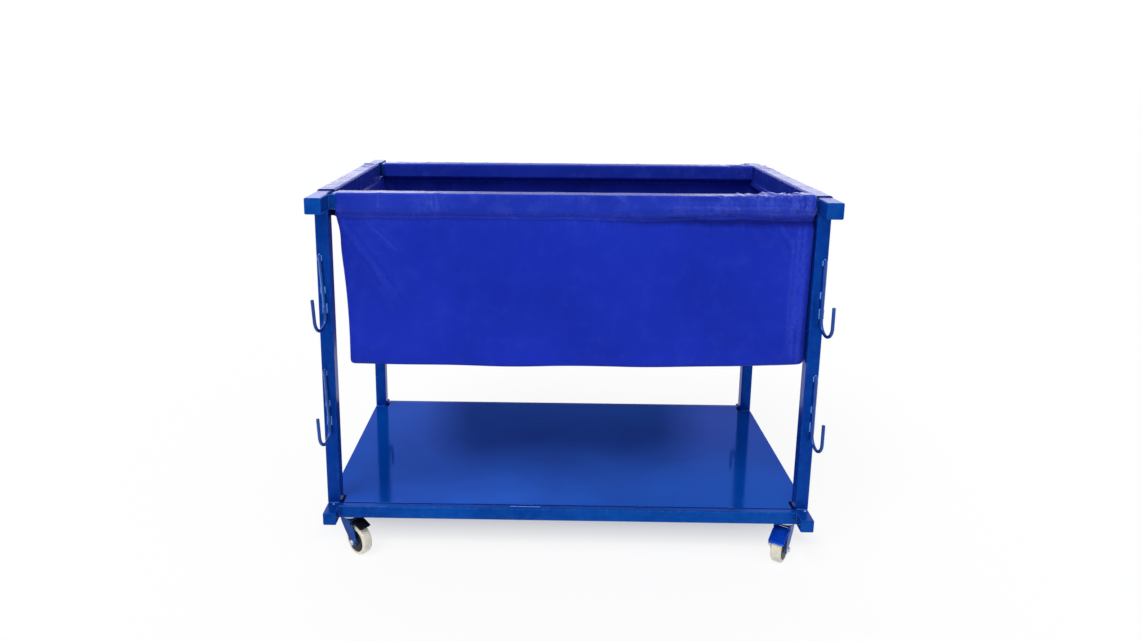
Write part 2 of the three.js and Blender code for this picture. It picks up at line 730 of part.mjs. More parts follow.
function addCastor(name, x, y, heading, pedal) {
  const fixed = new THREE.Group();
  fixed.position.set(x, y, 0);
  cart.add(fixed);
  addPiece(fixed, `${name}_castor_plate`, castorPlate(), zinc);
  addPiece(fixed, `${name}_castor_balls`, ballRing(), zinc);
  const turning = new THREE.Group();
  turning.rotation.z = heading;
  fixed.add(turning);
  addPiece(turning, `${name}_castor_fork`, castorFork(Boolean(pedal)), castorPaint);
  addPiece(turning, `${name}_castor_wheel`, castorWheel(), wheelNylon);
  addPiece(turning, `${name}_castor_cover_a`, wheelCover(1), blackPlastic);
  addPiece(turning, `${name}_castor_cover_b`, wheelCover(-1), blackPlastic);
  addPiece(turning, `${name}_castor_axle`, castorAxle(), zinc);
  if (pedal) {
    addPiece(turning, `${name}_brake_pedal`, brakePedal(pedal.pad), pedal.material);
  }
}

addFrame();
addShelf();
addHooks();
addBag();

const castorX = frameWidth / 2 - castorInset;
const frontRightX = frameWidth / 2 - frontRightInset;
const frontY = frontSetback - frameDepth / 2;
const rearY = frameDepth / 2 - rearSetback;
addCastor("front_left", -castorX, frontY, frontLeftHeading, { pad: raisedPad, material: blackPlastic });
addCastor("front_right", frontRightX, frontY, frontRightHeading, { pad: pressedPad, material: framePaint });
addCastor("rear_left", -castorX, rearY, rearLeftHeading, null);
addCastor("rear_right", castorX, rearY, rearRightHeading, null);

export default cart;
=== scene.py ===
# The looks of the ball cart: enamelled frame, sewn tarpaulin bag and castors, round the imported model.
# Lengths are written in millimetres and scaled to metres by mm; angles are in degrees.

import itertools
import math
import random

import bmesh
import bpy
import numpy as np
from mathutils import Matrix, Vector


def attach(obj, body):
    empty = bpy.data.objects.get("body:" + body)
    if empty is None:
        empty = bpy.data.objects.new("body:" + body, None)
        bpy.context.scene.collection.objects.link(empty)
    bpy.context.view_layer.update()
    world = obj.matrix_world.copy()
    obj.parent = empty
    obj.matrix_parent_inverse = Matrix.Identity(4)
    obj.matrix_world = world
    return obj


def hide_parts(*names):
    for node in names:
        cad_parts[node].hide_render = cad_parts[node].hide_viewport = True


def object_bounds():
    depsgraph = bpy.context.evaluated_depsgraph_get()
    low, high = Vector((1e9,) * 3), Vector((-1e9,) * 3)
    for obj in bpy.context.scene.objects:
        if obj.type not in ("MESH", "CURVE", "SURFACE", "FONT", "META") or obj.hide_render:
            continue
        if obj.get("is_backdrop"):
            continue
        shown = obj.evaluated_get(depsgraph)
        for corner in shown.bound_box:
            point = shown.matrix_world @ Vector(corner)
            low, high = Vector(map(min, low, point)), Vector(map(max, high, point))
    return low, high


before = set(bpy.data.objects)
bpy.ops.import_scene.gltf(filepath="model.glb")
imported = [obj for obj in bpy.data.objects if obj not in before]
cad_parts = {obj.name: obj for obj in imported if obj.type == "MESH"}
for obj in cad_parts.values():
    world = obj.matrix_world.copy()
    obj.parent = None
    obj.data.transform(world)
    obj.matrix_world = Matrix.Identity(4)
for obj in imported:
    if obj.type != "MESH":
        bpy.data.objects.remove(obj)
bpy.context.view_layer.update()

mm = 0.001
body = "frame"
scene = bpy.context.scene
both_sides = (("left", -1), ("right", 1))
both_ends = (("front", -1), ("rear", 1))

# Frame
frame_width = 1200
frame_depth = 600
tube_side = 32
top_tube_side = 38
half_tube = tube_side / 2
half_top = top_tube_side / 2
bottom_rail_level = 106.3
shelf_level = 138.6
shelf_thickness = 1.5
shelf_x, shelf_y = 600, 298
notch_x, notch_y = 560, 266
top_rail_level = 886.3
top_centre = top_rail_level + half_top
leg_top = 886
leg_x = 584
leg_y = frame_depth / 2 - half_tube
top_rail_y = 281
bottom_rail_y = 299
top_rail_reach = 364
bottom_rail_front = -348
bottom_rail_rear = 326
bottom_cross_reach = 567.7
top_cross_reach = 564.7

# Hooks
hook_radius = 4
hook_bend = 30
hook_stem = 145
hook_tip = 48
hook_rows = {"upper": 495, "lower": 208}
hook_insets = {"front": 8, "rear": 27}
# The beads on a stem's flank: where below its top the lean is taken, the lower and upper end, the radius
stem_beads = ((0, hook_stem - 15, hook_stem - 1, 2.3), (hook_stem - 60, 50, 68, 2.3),
              (hook_stem - 14, 1, 27, 2.5))
# How each front hook was welded on by hand: turned outwards, leaning, and the tip's extra length
hook_stance = {
    ("front", "left", "upper"): (-8, 3.4, 6),
    ("front", "left", "lower"): (-8, 2.8, 0),
    ("front", "right", "upper"): (5, 0.4, 1),
    ("front", "right", "lower"): (4, 0.2, 1),
}

# Bag
seam_left = -558
seam_right = 560
seam_depth = 291
left_draw = 25
depth_draw = 5
rim_level = 876.3
bag_top = rim_level + 3
panel_depth = 380
right_rise = 14
floor_sag = 12
edge_radius = 16
right_bulge = 7
sheet_thickness = 1.2
# Points along the front, along a side and round a corner
ring_counts = (300, 150, 10)
# Each corner's radius at the rim, the front right one along X and along Y, and what the lower edge adds to it
rim_corners = (8, 10, 8, 24, 16)
corner_growth = (0, 34, 5, 0, 0)

# Sleeves
sleeve_thickness = 0.8
hem = 8
stitch_step = 5.2
stitch_length = 3.6
# The part of each sleeve, from its far end, that is bunched and has finer rows
far_part = 190
sleeve_ends = (-548, 561)
left_sleeve_ends = (-250, 250)
right_sleeve_ends = (-283, 283)

# Castors
castor_height = 106
plate_thickness = 3
trail = 30
axle_height = 37.5 * math.cos(math.pi / 24)
crown_top = 93
fork_gap = 33
fork_sheet = 3
fork_outer = fork_gap / 2 + fork_sheet
rivet_seat = fork_outer + 0.3
pedal_pin = (20, 82)
# Where each castor stands and the way its wheel trails, from +X
castor_stands = {
    "front_left": (-548, -276, -40),
    "front_right": (553, -276, -124),
    "rear_left": (-548, 270, -72),
    "rear_right": (548, 270, -98),
}
# Half the width, the length and the turn of each pedal's pad
pads = {"front_left": (16, 25, 0), "front_right": (19.5, 38, 12)}


# Materials
class Nodes:
    """Short calls for the nodes of one material or world; their places are in metres."""

    def __init__(self, owner):
        self.owner = owner
        owner.use_nodes = True
        self.tree = owner.node_tree
        self.tree.nodes.clear()
        self.place = self.node("TexCoord", {}, "Object")

    def node(self, kind, inputs, output=0, **settings):
        """One output of a new node, or all of them for None.
        Each input is linked, set, or left as it is where it is None."""
        made = self.tree.nodes.new("ShaderNode" + kind)
        for key, value in settings.items():
            setattr(made, key, value)
        for key, value in inputs.items():
            if isinstance(value, bpy.types.NodeSocket):
                self.tree.links.new(value, made.inputs[key])
            elif value is not None:
                made.inputs[key].default_value = value
        return made.outputs if output is None else made.outputs[output]

    def noise(self, scale, detail=2, roughness=0.5, distortion=0.0, place=None):
        return self.node("TexNoise", {"Scale": scale, "Detail": detail, "Roughness": roughness,
                                      "Distortion": distortion, "Vector": place or self.place}, "Fac")

    def waves(self, scale, direction):
        return self.node("TexWave", {"Scale": scale, "Vector": self.place}, "Fac", bands_direction=direction)

    def axis(self, name):
        return self.node("SeparateXYZ", {0: self.place}, name)

    def ramp(self, source, *stops):
        colour = self.node("ValToRGB", {0: source})
        for element, (position, value) in zip(colour.node.color_ramp.elements, stops):
            element.position = position
            element.color = value
        return colour

    def span(self, source, low, high, to_low, to_high):
        return self.node("MapRange", {"Value": source, "From Min": low, "From Max": high,
                                      "To Min": to_low, "To Max": to_high})

    def rise(self, source, low, high):
        return self.span(source, low, high, 0.0, 1.0)

    def fall(self, source, low, high):
        return self.span(source, low, high, 1.0, 0.0)

    def math(self, operation, a, b=None):
        return self.node("Math", {0: a, 1: b}, operation=operation)

    def times(self, product, *factors):
        for factor in factors:
            product = self.math("MULTIPLY", product, factor)
        return product

    def mix(self, factor, a, b):
        return self.node("Mix", {0: factor, 6: a, 7: b}, 2, data_type="RGBA")

    def bump(self, height, strength, distance, under=None):
        return self.node("Bump", {"Height": height, "Strength": strength, "Distance": distance,
                                  "Normal": under})

    def worn(self, attribute, noise, low, high, to_low, to_high):
        """Patches of wear where the mesh's attribute says that the surface is rubbed or creased."""
        place = self.node("Attribute", {}, "Fac", attribute_name=attribute)
        return self.times(place, self.span(noise, low, high, to_low, to_high))

    def seen(self):
        """One for the rays that see a thing straight or in a mirror, and nothing for those that light it."""
        path = self.node("LightPath", {}, None)
        seen = self.math("MAXIMUM", path["Is Camera Ray"], path["Is Glossy Ray"])
        return self.math("MAXIMUM", seen, path["Is Transmission Ray"])

    def blend(self, share, first, second):
        self.surface(self.node("MixShader", {0: share, 1: first, 2: second}))

    def surface(self, shader):
        kind = "OutputWorld" if isinstance(self.owner, bpy.types.World) else "OutputMaterial"
        self.node(kind, {"Surface": shader}, None)
        return self.owner

    def coated(self, **values):
        """The material with a Principled shader, each value named as its input."""
        inputs = {key.replace("_", " "): value for key, value in values.items()}
        return self.surface(self.node("BsdfPrincipled", inputs))


def new_material(name):
    return Nodes(bpy.data.materials.new(name))


def srgb(*levels):
    """A colour written as the eye reads it, from 0 to 255, as the shader's own linear values."""
    shares = [level / 255 for level in levels]
    return (*(s / 12.92 if s <= 0.04045 else ((s + 0.055) / 1.055) ** 2.4 for s in shares), 1)


def in_notches(m):
    """One on the rails' faces under the shelf's four notches and nothing elsewhere: where the enamel's
    painted shade goes.
    """
    across = m.math("ABSOLUTE", m.axis("X"))
    along = m.math("ABSOLUTE", m.axis("Y"))
    return m.times(m.rise(across, 0.556, 0.559), m.fall(across, 0.569, 0.571), m.fall(along, 0.2985, 0.2995),
                   m.rise(along, 0.225, 0.255), m.rise(m.axis("Z"), 0.107, 0.118))


def enamel(name, deep, main, pale, gloss=0.2, level=0.4, tint=(45, 105, 225), notch_shade=False):
    """Brushed and sprayed gloss enamel on steel: cloudy colour, orange peel, rubbed edges, and where asked a
    painted shade on the rails' faces under the shelf's notches.
    """
    m = new_material(name)
    base = m.ramp(m.noise(5.5, 3, 0.6, 0.4), (0.3, srgb(*deep)), (0.62, srgb(*main)))
    base = m.mix(m.span(m.noise(48, 4, 0.65), 0.4, 0.8, 0.0, 0.14), base, srgb(*pale))
    base = m.mix(m.worn("edge", m.noise(95, 5, 0.7), 0.52, 0.75, 0.0, 0.5), base, srgb(*pale))
    rough = m.span(m.noise(22, 4, 0.6), 0.3, 0.75, gloss * 0.75, gloss * 1.5)
    if notch_shade:
        # painted shade: darker, rougher enamel on the rails' faces under the shelf's notches, standing in for
        # the shadow there
        dirt_and_shade = in_notches(m)
        base = m.mix(dirt_and_shade, base, srgb(0, 26, 84))
        rough = m.math("ADD", rough, m.times(dirt_and_shade, 0.7))
    peel = m.bump(m.noise(430), 0.08, 0.0005)
    swell = m.bump(m.noise(19), 0.21, 0.0012, peel)
    return m.coated(Base_Color=base, Roughness=rough, Normal=swell, Metallic=0.3, IOR=1.5,
                    Specular_IOR_Level=level, Specular_Tint=srgb(*tint))


frame_enamel = enamel("frame_enamel", (2, 45, 129), (5, 58, 147), (48, 108, 198))
rail_enamel = enamel("rail_enamel", (0, 56, 140), (4, 70, 158), (64, 122, 204), notch_shade=True)
hook_enamel = enamel("hook_enamel", (2, 42, 120), (8, 58, 148), (84, 140, 220), 0.16, 0.9, (170, 205, 250))
# a pale enamel for the beads that should glint: its paleness is a painted highlight
painted_glint_enamel = enamel("painted_glint_enamel", (30, 86, 184), (84, 150, 232), (190, 218, 255), 0.14, 1.0,
                     (205, 228, 255))
castor_enamel = enamel("castor_enamel", (0, 56, 124), (4, 80, 164), (64, 122, 196), 0.24, 0.2)
pedal_enamel = enamel("pedal_enamel", (0, 40, 140), (2, 58, 176), (60, 120, 225), 0.22)


def shelf_finish():
    """Thicker enamel poured flat on sheet steel: long slow waves, faint dust and fine scratches."""
    m = new_material("shelf_enamel")
    base = m.ramp(m.noise(3.1, 3, 0.55, 0.5), (0.3, srgb(0, 70, 162)), (0.68, srgb(4, 82, 178)))
    brushed = m.node("Mapping", {"Scale": (1.0, 26.0, 1.0), "Vector": m.place})
    scratch = m.noise(16, 6, 0.75, place=brushed)
    base = m.mix(m.span(scratch, 0.62, 0.8, 0.0, 0.14), base, srgb(84, 134, 206))
    base = m.mix(m.span(m.noise(240, 3, 0.7), 0.6, 0.8, 0.0, 0.12), base, srgb(120, 150, 200))
    peel = m.bump(m.noise(380), 0.04, 0.0004)
    return m.coated(Base_Color=base, Roughness=m.span(m.noise(9, 5, 0.65), 0.3, 0.75, 0.05, 0.13),
                    Normal=m.bump(m.noise(6.5, 2, 0.45), 0.16, 0.003, peel), Metallic=0.4, IOR=1.5,
                    Specular_IOR_Level=0.1, Specular_Tint=srgb(90, 140, 235))


def tarpaulin_finish(name, deep, main, pale, gloss):
    """Coated cloth: the scrim's weave shows through a soft satin coat, creases rub paler."""
    m = new_material(name)
    base = m.ramp(m.noise(4.2, 4, 0.55, 0.6), (0.28, srgb(*deep)), (0.66, srgb(*main)))
    smudge = m.noise(24, 5, 0.65)
    base = m.mix(m.span(smudge, 0.5, 0.8, 0.0, 0.16), base, srgb(*pale))
    crease = m.worn("crease", m.noise(160, 4, 0.7), 0.35, 0.7, 0.15, 1.0)
    base = m.mix(m.times(crease, 0.5), base, srgb(*pale))
    # a painted shadow line under the front sleeve's right half, where its lip overhangs the panel
    along = m.span(m.axis("X"), 0.04, 0.3, 0.0, 0.72)
    front = m.fall(m.axis("Y"), -0.275, -0.262)
    height = m.math("ADD", m.axis("Z"), m.span(m.noise(14), 0.3, 0.7, -0.004, 0.004))
    line = m.times(m.rise(height, 0.849, 0.862), m.fall(height, 0.869, 0.875))
    base = m.mix(m.times(along, front, line), base, srgb(8, 14, 92))
    threads = m.math("ADD", m.math("ADD", m.waves(420, "X"), m.waves(420, "Z")), m.waves(420, "Y"))
    weave = m.bump(threads, 0.16, 0.00012)
    return m.coated(Base_Color=base, Roughness=m.span(smudge, 0.3, 0.8, gloss, gloss + 0.14),
                    Normal=m.bump(m.noise(70, 3, 0.6), 0.1, 0.001, weave), Metallic=0.0, IOR=1.5,
                    Specular_IOR_Level=0.5, Specular_Tint=srgb(70, 85, 235),
                    Sheen_Weight=0.04, Sheen_Roughness=0.5, Sheen_Tint=srgb(120, 140, 255))


def thread_finish():
    m = new_material("thread")
    base = m.ramp(m.noise(900), (0.3, srgb(22, 40, 150)), (0.7, srgb(44, 64, 184)))
    return m.coated(Base_Color=base, Roughness=0.6, Normal=m.bump(m.waves(1400, "DIAGONAL"), 0.5, 0.0002))


def nylon_finish():
    m = new_material("wheel_nylon")
    base = m.ramp(m.noise(38, 4, 0.6), (0.3, srgb(214, 207, 186)), (0.7, srgb(236, 231, 216)))
    dirt_and_shade = m.noise(90, 6, 0.75)
    base = m.mix(m.span(dirt_and_shade, 0.55, 0.85, 0.0, 0.5), base, srgb(150, 146, 132))
    return m.coated(Base_Color=base, Roughness=m.span(dirt_and_shade, 0.3, 0.8, 0.38, 0.62),
                    Normal=m.bump(m.noise(520, 3, 0.6), 0.12, 0.0003), IOR=1.52, Subsurface_Weight=0.05,
                    Subsurface_Radius=(0.004, 0.003, 0.002))


def plain_finish(name, clouds, dark, light, patches, smooth_at, rough_at, grain=None, **values):
    """Two near colours in clouds, with a gloss that varies in patches.
    The grain is a fine bump, written as its scale and strength."""
    m = new_material(name)
    cloud = m.noise(*clouds)
    base = m.ramp(cloud, (0.3, srgb(*dark)), (0.7, srgb(*light)))
    patch = m.noise(patches, 3, 0.6) if patches else cloud
    normal = m.bump(m.noise(grain[0]), grain[1], 0.0002) if grain else None
    return m.coated(Base_Color=base, Roughness=m.span(patch, 0.3, 0.7, smooth_at, rough_at), Normal=normal,
                    **values)


shelf_enamel = shelf_finish()
tarpaulin = tarpaulin_finish("tarpaulin", (18, 38, 154), (23, 45, 172), (62, 84, 205), 0.42)
sleeve_cloth = tarpaulin_finish("sleeve_cloth", (22, 42, 152), (30, 52, 170), (92, 112, 222), 0.2)
inner_cloth = tarpaulin_finish("inner_cloth", (16, 30, 132), (24, 42, 158), (52, 70, 186), 0.46)
thread = thread_finish()
zinc = plain_finish("zinc_plate", (120, 4, 0.6), (176, 180, 186), (214, 216, 218), 300, 0.2, 0.42,
                    (700, 0.12), Metallic=0.95)
wheel_nylon = nylon_finish()
black_plastic = plain_finish("black_plastic", (60, 4, 0.6), (6, 7, 12), (17, 19, 28), 240, 0.3, 0.48,
                             (900, 0.14), IOR=1.5, Specular_IOR_Level=0.18)
bearing_steel = plain_finish("bearing_steel", (260, 3, 0.6), (150, 150, 150), (188, 188, 186), None,
                             0.14, 0.3, Metallic=1.0)


# Building helpers
def placed(name, data):
    obj = bpy.data.objects.new(name, data)
    scene.collection.objects.link(obj)
    return obj


def piece(name, mesh, material, slot, angle, stands_for=(), rides=body, even=True):
    """Links a mesh as one piece of the cart, with the solids it stands for and the body it rides; the slot is
    not used.
    Faces that meet below the angle are shaded as one; even keeps the broad faces flat where they do."""
    mesh.name = name
    mesh.materials.clear()
    mesh.materials.append(material)
    obj = placed(name, mesh)
    mesh.polygons.foreach_set("use_smooth", [True] * len(mesh.polygons))
    mesh.set_sharp_from_angle(angle=math.radians(angle))
    if even:
        weighted = obj.modifiers.new("even_normals", "WEIGHTED_NORMAL")
        weighted.weight = 80
        weighted.keep_sharp = True
    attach(obj, rides)
    if stands_for:
        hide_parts(*stands_for)
    return obj


def finished(bm):
    mesh = bpy.data.meshes.new("part")
    bm.normal_update()
    bm.to_mesh(mesh)
    bm.free()
    return mesh


def outwards(bm):
    bmesh.ops.recalc_face_normals(bm, faces=bm.faces)
    return finished(bm)


def applied(obj, *tools):
    """The object's mesh with its modifiers applied; the object and its tools are removed."""
    depsgraph = bpy.context.evaluated_depsgraph_get()
    made = bpy.data.meshes.new_from_object(obj.evaluated_get(depsgraph))
    for scratch in (obj, *tools):
        bpy.data.objects.remove(scratch)
    return made


def with_modifiers(mesh, *settings):
    """The mesh after some modifiers, each written as (type, {setting: value})."""
    obj = placed("scratch", mesh)
    for kind, values in settings:
        modifier = obj.modifiers.new(kind.lower(), kind)
        for key, value in values.items():
            setattr(modifier, key, value)
    return applied(obj)


def bevel(width, angle):
    """The modifier that rounds the edges which bend by more than the angle."""
    return "BEVEL", {"width": width * mm, "segments": 2, "limit_method": "ANGLE",
                     "angle_limit": math.radians(angle)}


def combined(mesh, others, operation):
    """A mesh with others joined to it or cut from it."""
    obj = placed("solid", mesh)
    tools = [placed("tool", other) for other in others]
    for tool in tools:
        modifier = obj.modifiers.new("cut", "BOOLEAN")
        modifier.solver = "EXACT"
        modifier.operation = operation
        modifier.object = tool
    return applied(obj, *tools)


def joined(meshes):
    """Several meshes as one, without joining their surfaces."""
    bm = bmesh.new()
    for mesh in meshes:
        bm.from_mesh(mesh)
    return finished(bm)


def moved(mesh, matrix):
    mesh.transform(matrix)
    return mesh


def shift(x, y, z):
    return Matrix.Translation(Vector((x, y, z)) * mm)


def turn(degrees, axis):
    return Matrix.Rotation(math.radians(degrees), 4, axis)


def rounded_bar(low, high, axis, corner, end_round):
    """A bar with rounded long edges along an axis and lightly rounded ends, corners in mm.
    Its rounded faces are marked as edges, where handling rubs the paint."""
    bm = bmesh.new()
    bmesh.ops.create_cube(bm, size=1)
    for v in bm.verts:
        for i in range(3):
            v.co[i] = (low[i] if v.co[i] < 0 else high[i]) * mm

    def round_off(edges, radius, steps):
        bmesh.ops.bevel(bm, geom=edges, offset=radius * mm, offset_type="OFFSET", segments=steps,
                        profile=0.5, affect="EDGES")

    def length(edge):
        return abs(edge.verts[0].co[axis] - edge.verts[1].co[axis])

    def at_end(edge):
        return min(abs(edge.verts[0].co[axis] - place[axis] * mm) for place in (low, high)) < 1e-6

    round_off([e for e in bm.edges if length(e) > 1e-6], corner, 5)
    round_off([e for e in bm.edges if length(e) < 1e-7 and at_end(e)], end_round, 3)
    bm.normal_update()
    layer = bm.faces.layers.float.new("edge")
    for face in bm.faces:
        face[layer] = 1.0 if max(abs(c) for c in face.normal) < 0.995 else 0.0
    return finished(bm)


def lathe(profile, segments=72):
    """A closed profile of (radius, height) in mm turned about Z."""
    bm = bmesh.new()
    angles = [2 * math.pi * i / segments for i in range(segments)]
    rows = []
    for radius, height in profile:
        rows.append([bm.verts.new((radius * math.cos(a) * mm, radius * math.sin(a) * mm, height * mm))
                     for a in (angles if radius > 0 else angles[:1])])
    if len(rows[0]) > 1 and len(rows[-1]) > 1:
        rows.append(rows[0])
    for a, b in zip(rows, rows[1:]):
        for i in range(segments):
            j = (i + 1) % segments
            unique = list(dict.fromkeys([a[i % len(a)], a[j % len(a)], b[j % len(b)], b[i % len(b)]]))
            if len(unique) > 2:
                bm.faces.new(unique)
    return outwards(bm)


def arc(cx, cy, radius, start, end, steps):
    """Points of an arc between two angles."""
    angles = [math.radians(start + (end - start) * i / steps) for i in range(steps + 1)]
    return [(cx + radius * math.cos(a), cy + radius * math.sin(a)) for a in angles]


def outline_plate(outline, thickness, holes, round_edge, steps):
    """A flat plate in the XY plane, centred in Z, from an outline and holes in mm, with rounded rims."""
    curve = bpy.data.curves.new("outline", "CURVE")
    curve.dimensions = "2D"
    curve.fill_mode = "BOTH"
    curve.extrude = (thickness / 2 - round_edge) * mm
    curve.bevel_depth = round_edge * mm
    curve.bevel_resolution = steps
    curve.offset = -round_edge * mm
    for loop in (outline, *holes):
        spline = curve.splines.new("POLY")
        spline.points.add(len(loop) - 1)
        for point, (x, y) in zip(spline.points, loop):
            point.co = (x * mm, y * mm, 0, 1)
        spline.use_cyclic_u = True
    bm = bmesh.new()
    bm.from_mesh(applied(placed("outline", curve)))
    bmesh.ops.remove_doubles(bm, verts=bm.verts, dist=1e-6)
    return outwards(bm)


def prism(outline, low, high, plane="XZ"):
    """An outline in mm extruded between two places along the third axis."""
    bm = bmesh.new()
    rows = []
    for level in (low, high):
        places = [{"XZ": (a, level, b), "YZ": (level, a, b), "XY": (a, b, level)}[plane] for a, b in outline]
        rows.append([bm.verts.new(Vector(place) * mm) for place in places])
    bm.faces.new(rows[0])
    bm.faces.new(rows[1][::-1])
    for i in range(len(outline)):
        j = (i + 1) % len(outline)
        bm.faces.new((rows[0][i], rows[1][i], rows[1][j], rows[0][j]))
    return outwards(bm)


def tube(points, radii, sides):
    """A round bar along points in mm, with the radius of each."""
    pts = [Vector(p) for p in points]
    bm = bmesh.new()
    side = (pts[1] - pts[0]).normalized().orthogonal().normalized()
    rings = []
    for i, p in enumerate(pts):
        tangent = (pts[min(i + 1, len(pts) - 1)] - pts[max(i - 1, 0)]).normalized()
        side = (side - tangent * side.dot(tangent)).normalized()
        other = tangent.cross(side)
        ring = []
        for s in range(sides):
            angle = 2 * math.pi * s / sides
            out = side * math.cos(angle) + other * math.sin(angle)
            ring.append(bm.verts.new((p + out * radii[i]) * mm))
        rings.append(ring)
    for a, b in zip(rings, rings[1:]):
        for s in range(sides):
            t = (s + 1) % sides
            bm.faces.new((a[s], a[t], b[t], b[s]))
    bm.faces.new(rings[0][::-1])
    bm.faces.new(rings[-1])
    return outwards(bm)


def domed(points, radius, sides, dome=3):
    """A round bar with both ends rounded off by small steps."""
    pts = [Vector(p) for p in points]
    radii = [radius] * len(pts)
    for _ in both_ends:
        tip = pts[0]
        back = (pts[1] - tip).normalized()
        angles = [math.pi / 2 * k / dome for k in range(dome, -1, -1)]
        pts = [tip + back * radius * 0.35 * (1 - math.sin(a)) for a in angles] + pts[1:]
        radii = [radius * max(math.cos(a), 0.3) for a in angles] + radii[1:]
        pts.reverse()
        radii.reverse()
    return tube(pts, radii, sides)


# Welds
weld_meshes = []
# beads drawn in the pale enamel, whose paleness is a painted highlight
glint_meshes = []
seeds = itertools.count(1)


def bead(start, end, radius, seed=None, kept=weld_meshes):
    """A weld bead between two places in mm: overlapping ripples, thinner at both ends."""
    rng = random.Random(next(seeds) if seed is None else seed)
    a, b = Vector(start), Vector(end)
    length = (b - a).length
    count = max(6, int(length / 0.7))
    ripple = 2.6
    pts = []
    radii = []
    drift = rng.random() * ripple
    for i in range(count + 1):
        share = i / count
        s = share * length
        fade = min(1.0, min(s, length - s) / 2.2 + 0.35)
        pulse = abs(math.sin(math.pi * (s + drift) / ripple))
        radii.append(radius * fade * (0.86 + 0.2 * pulse) * (0.95 + 0.1 * rng.random()))
        wander = Vector((rng.uniform(-1, 1), rng.uniform(-1, 1), rng.uniform(-1, 1))) * 0.12
        pts.append(a.lerp(b, share) + wander)
    kept.append(tube(pts, radii, 8))


def run(centre, axis, reach, radius, seed=None, kept=weld_meshes):
    """A weld bead along an axis, to the same reach on both sides of its centre."""
    start, end = list(centre), list(centre)
    start[axis] -= reach
    end[axis] += reach
    bead(start, end, radius, seed, kept)


def spatter(around, count, seed):
    """A few drops of weld metal under the paint near a joint; around is a list of (low, high) boxes."""
    rng = random.Random(seed)
    for _ in range(count):
        low, high = around[rng.randrange(len(around))]
        place = [rng.uniform(l, h) for l, h in zip(low, high)]
        ball = bmesh.new()
        bmesh.ops.create_icosphere(ball, subdivisions=1, radius=rng.uniform(0.35, 0.8) * mm)
        weld_meshes.append(moved(finished(ball), shift(*place)))


# Frame members
def bar(name, low, high, axis, corner, end_round, paint, stands_for):
    piece(name, rounded_bar(low, high, axis, corner, end_round), paint, "frame_paint", 35, stands_for)


for side, sign in both_sides:
    x = sign * leg_x
    for level, half, front, rear, low, corner in (
            ("top", half_top, -top_rail_reach, top_rail_reach, top_rail_level, 3.5),
            ("bottom", half_tube, bottom_rail_front, bottom_rail_rear, bottom_rail_level, 3)):
        name = f"{level}_rail_{side}"
        bar(f"{name}_welded", (x - half, front, low), (x + half, rear, low + 2 * half), 1, corner, 1.2,
            rail_enamel, (name, f"{name}_front_cap", f"{name}_rear_cap"))
    for end, end_sign in both_ends:
        y = end_sign * leg_y
        name = f"leg_{end}_{side}"
        bar(f"{name}_painted", (x - half_tube, y - half_tube, shelf_level),
            (x + half_tube, y + half_tube, leg_top), 2, 3, 0.5, frame_enamel, (name,))
for end, sign in both_ends:
    for level, half, place, reach, low, corner in (
            ("bottom", half_tube, bottom_rail_y, bottom_cross_reach, bottom_rail_level, 3),
            ("top", half_top, top_rail_y, top_cross_reach, top_rail_level, 3.5)):
        y = sign * place
        name = f"{level}_rail_{end}"
        bar(f"{name}_painted", (-reach, y - half, low), (reach, y + half, low + 2 * half), 0, corner, 0.4,
            rail_enamel, (name,))

for _, sign in both_sides:
    x = sign * leg_x
    for _, end_sign in both_ends:
        y = end_sign * leg_y
        for face in (-1, 1):
            # the leg's foot on the bottom side rail, and its head under the top one
            run((x, y + face * (half_tube + 0.4), shelf_level + 0.4), 0, 13.5, 2.8)
            run((x, y + face * (half_tube + 0.3), leg_top - 0.2), 0, 14, 1.8)
            run((x + face * (half_tube + 0.3), y, leg_top - 0.2), 1, 14, 1.6)
        # the cross rails into the side rails: their front and rear faces, and their undersides
        low_x, low_y = sign * (bottom_cross_reach + 0.1), end_sign * bottom_rail_y
        top_x, top_y = sign * (top_cross_reach + 0.1), end_sign * top_rail_y
        for face in (-1, 1):
            run((low_x, low_y + face * (half_tube + 0.2), bottom_rail_level + half_tube + 0.2), 2, 13, 1.9)
            run((top_x, top_y + face * (half_top + 0.2), top_centre + 0.2), 2, 15.5, 1.7)
        run((top_x, top_y, top_rail_level - 0.1), 1, 15, 1.7)
        run((low_x, low_y, bottom_rail_level + 0.1), 1, 13, 1.8)


# Hook bars and their welds
def hook_line(extra):
    pts = [(0, 0, hook_stem - hook_stem * i / 8) for i in range(9)]
    for i in range(1, 25):
        angle = math.pi * i / 24
        pts.append((0, hook_bend * (math.cos(angle) - 1), -hook_bend * math.sin(angle)))
    return pts + [(0, -2 * hook_bend, (hook_tip + extra) * i / 4) for i in range(1, 5)]


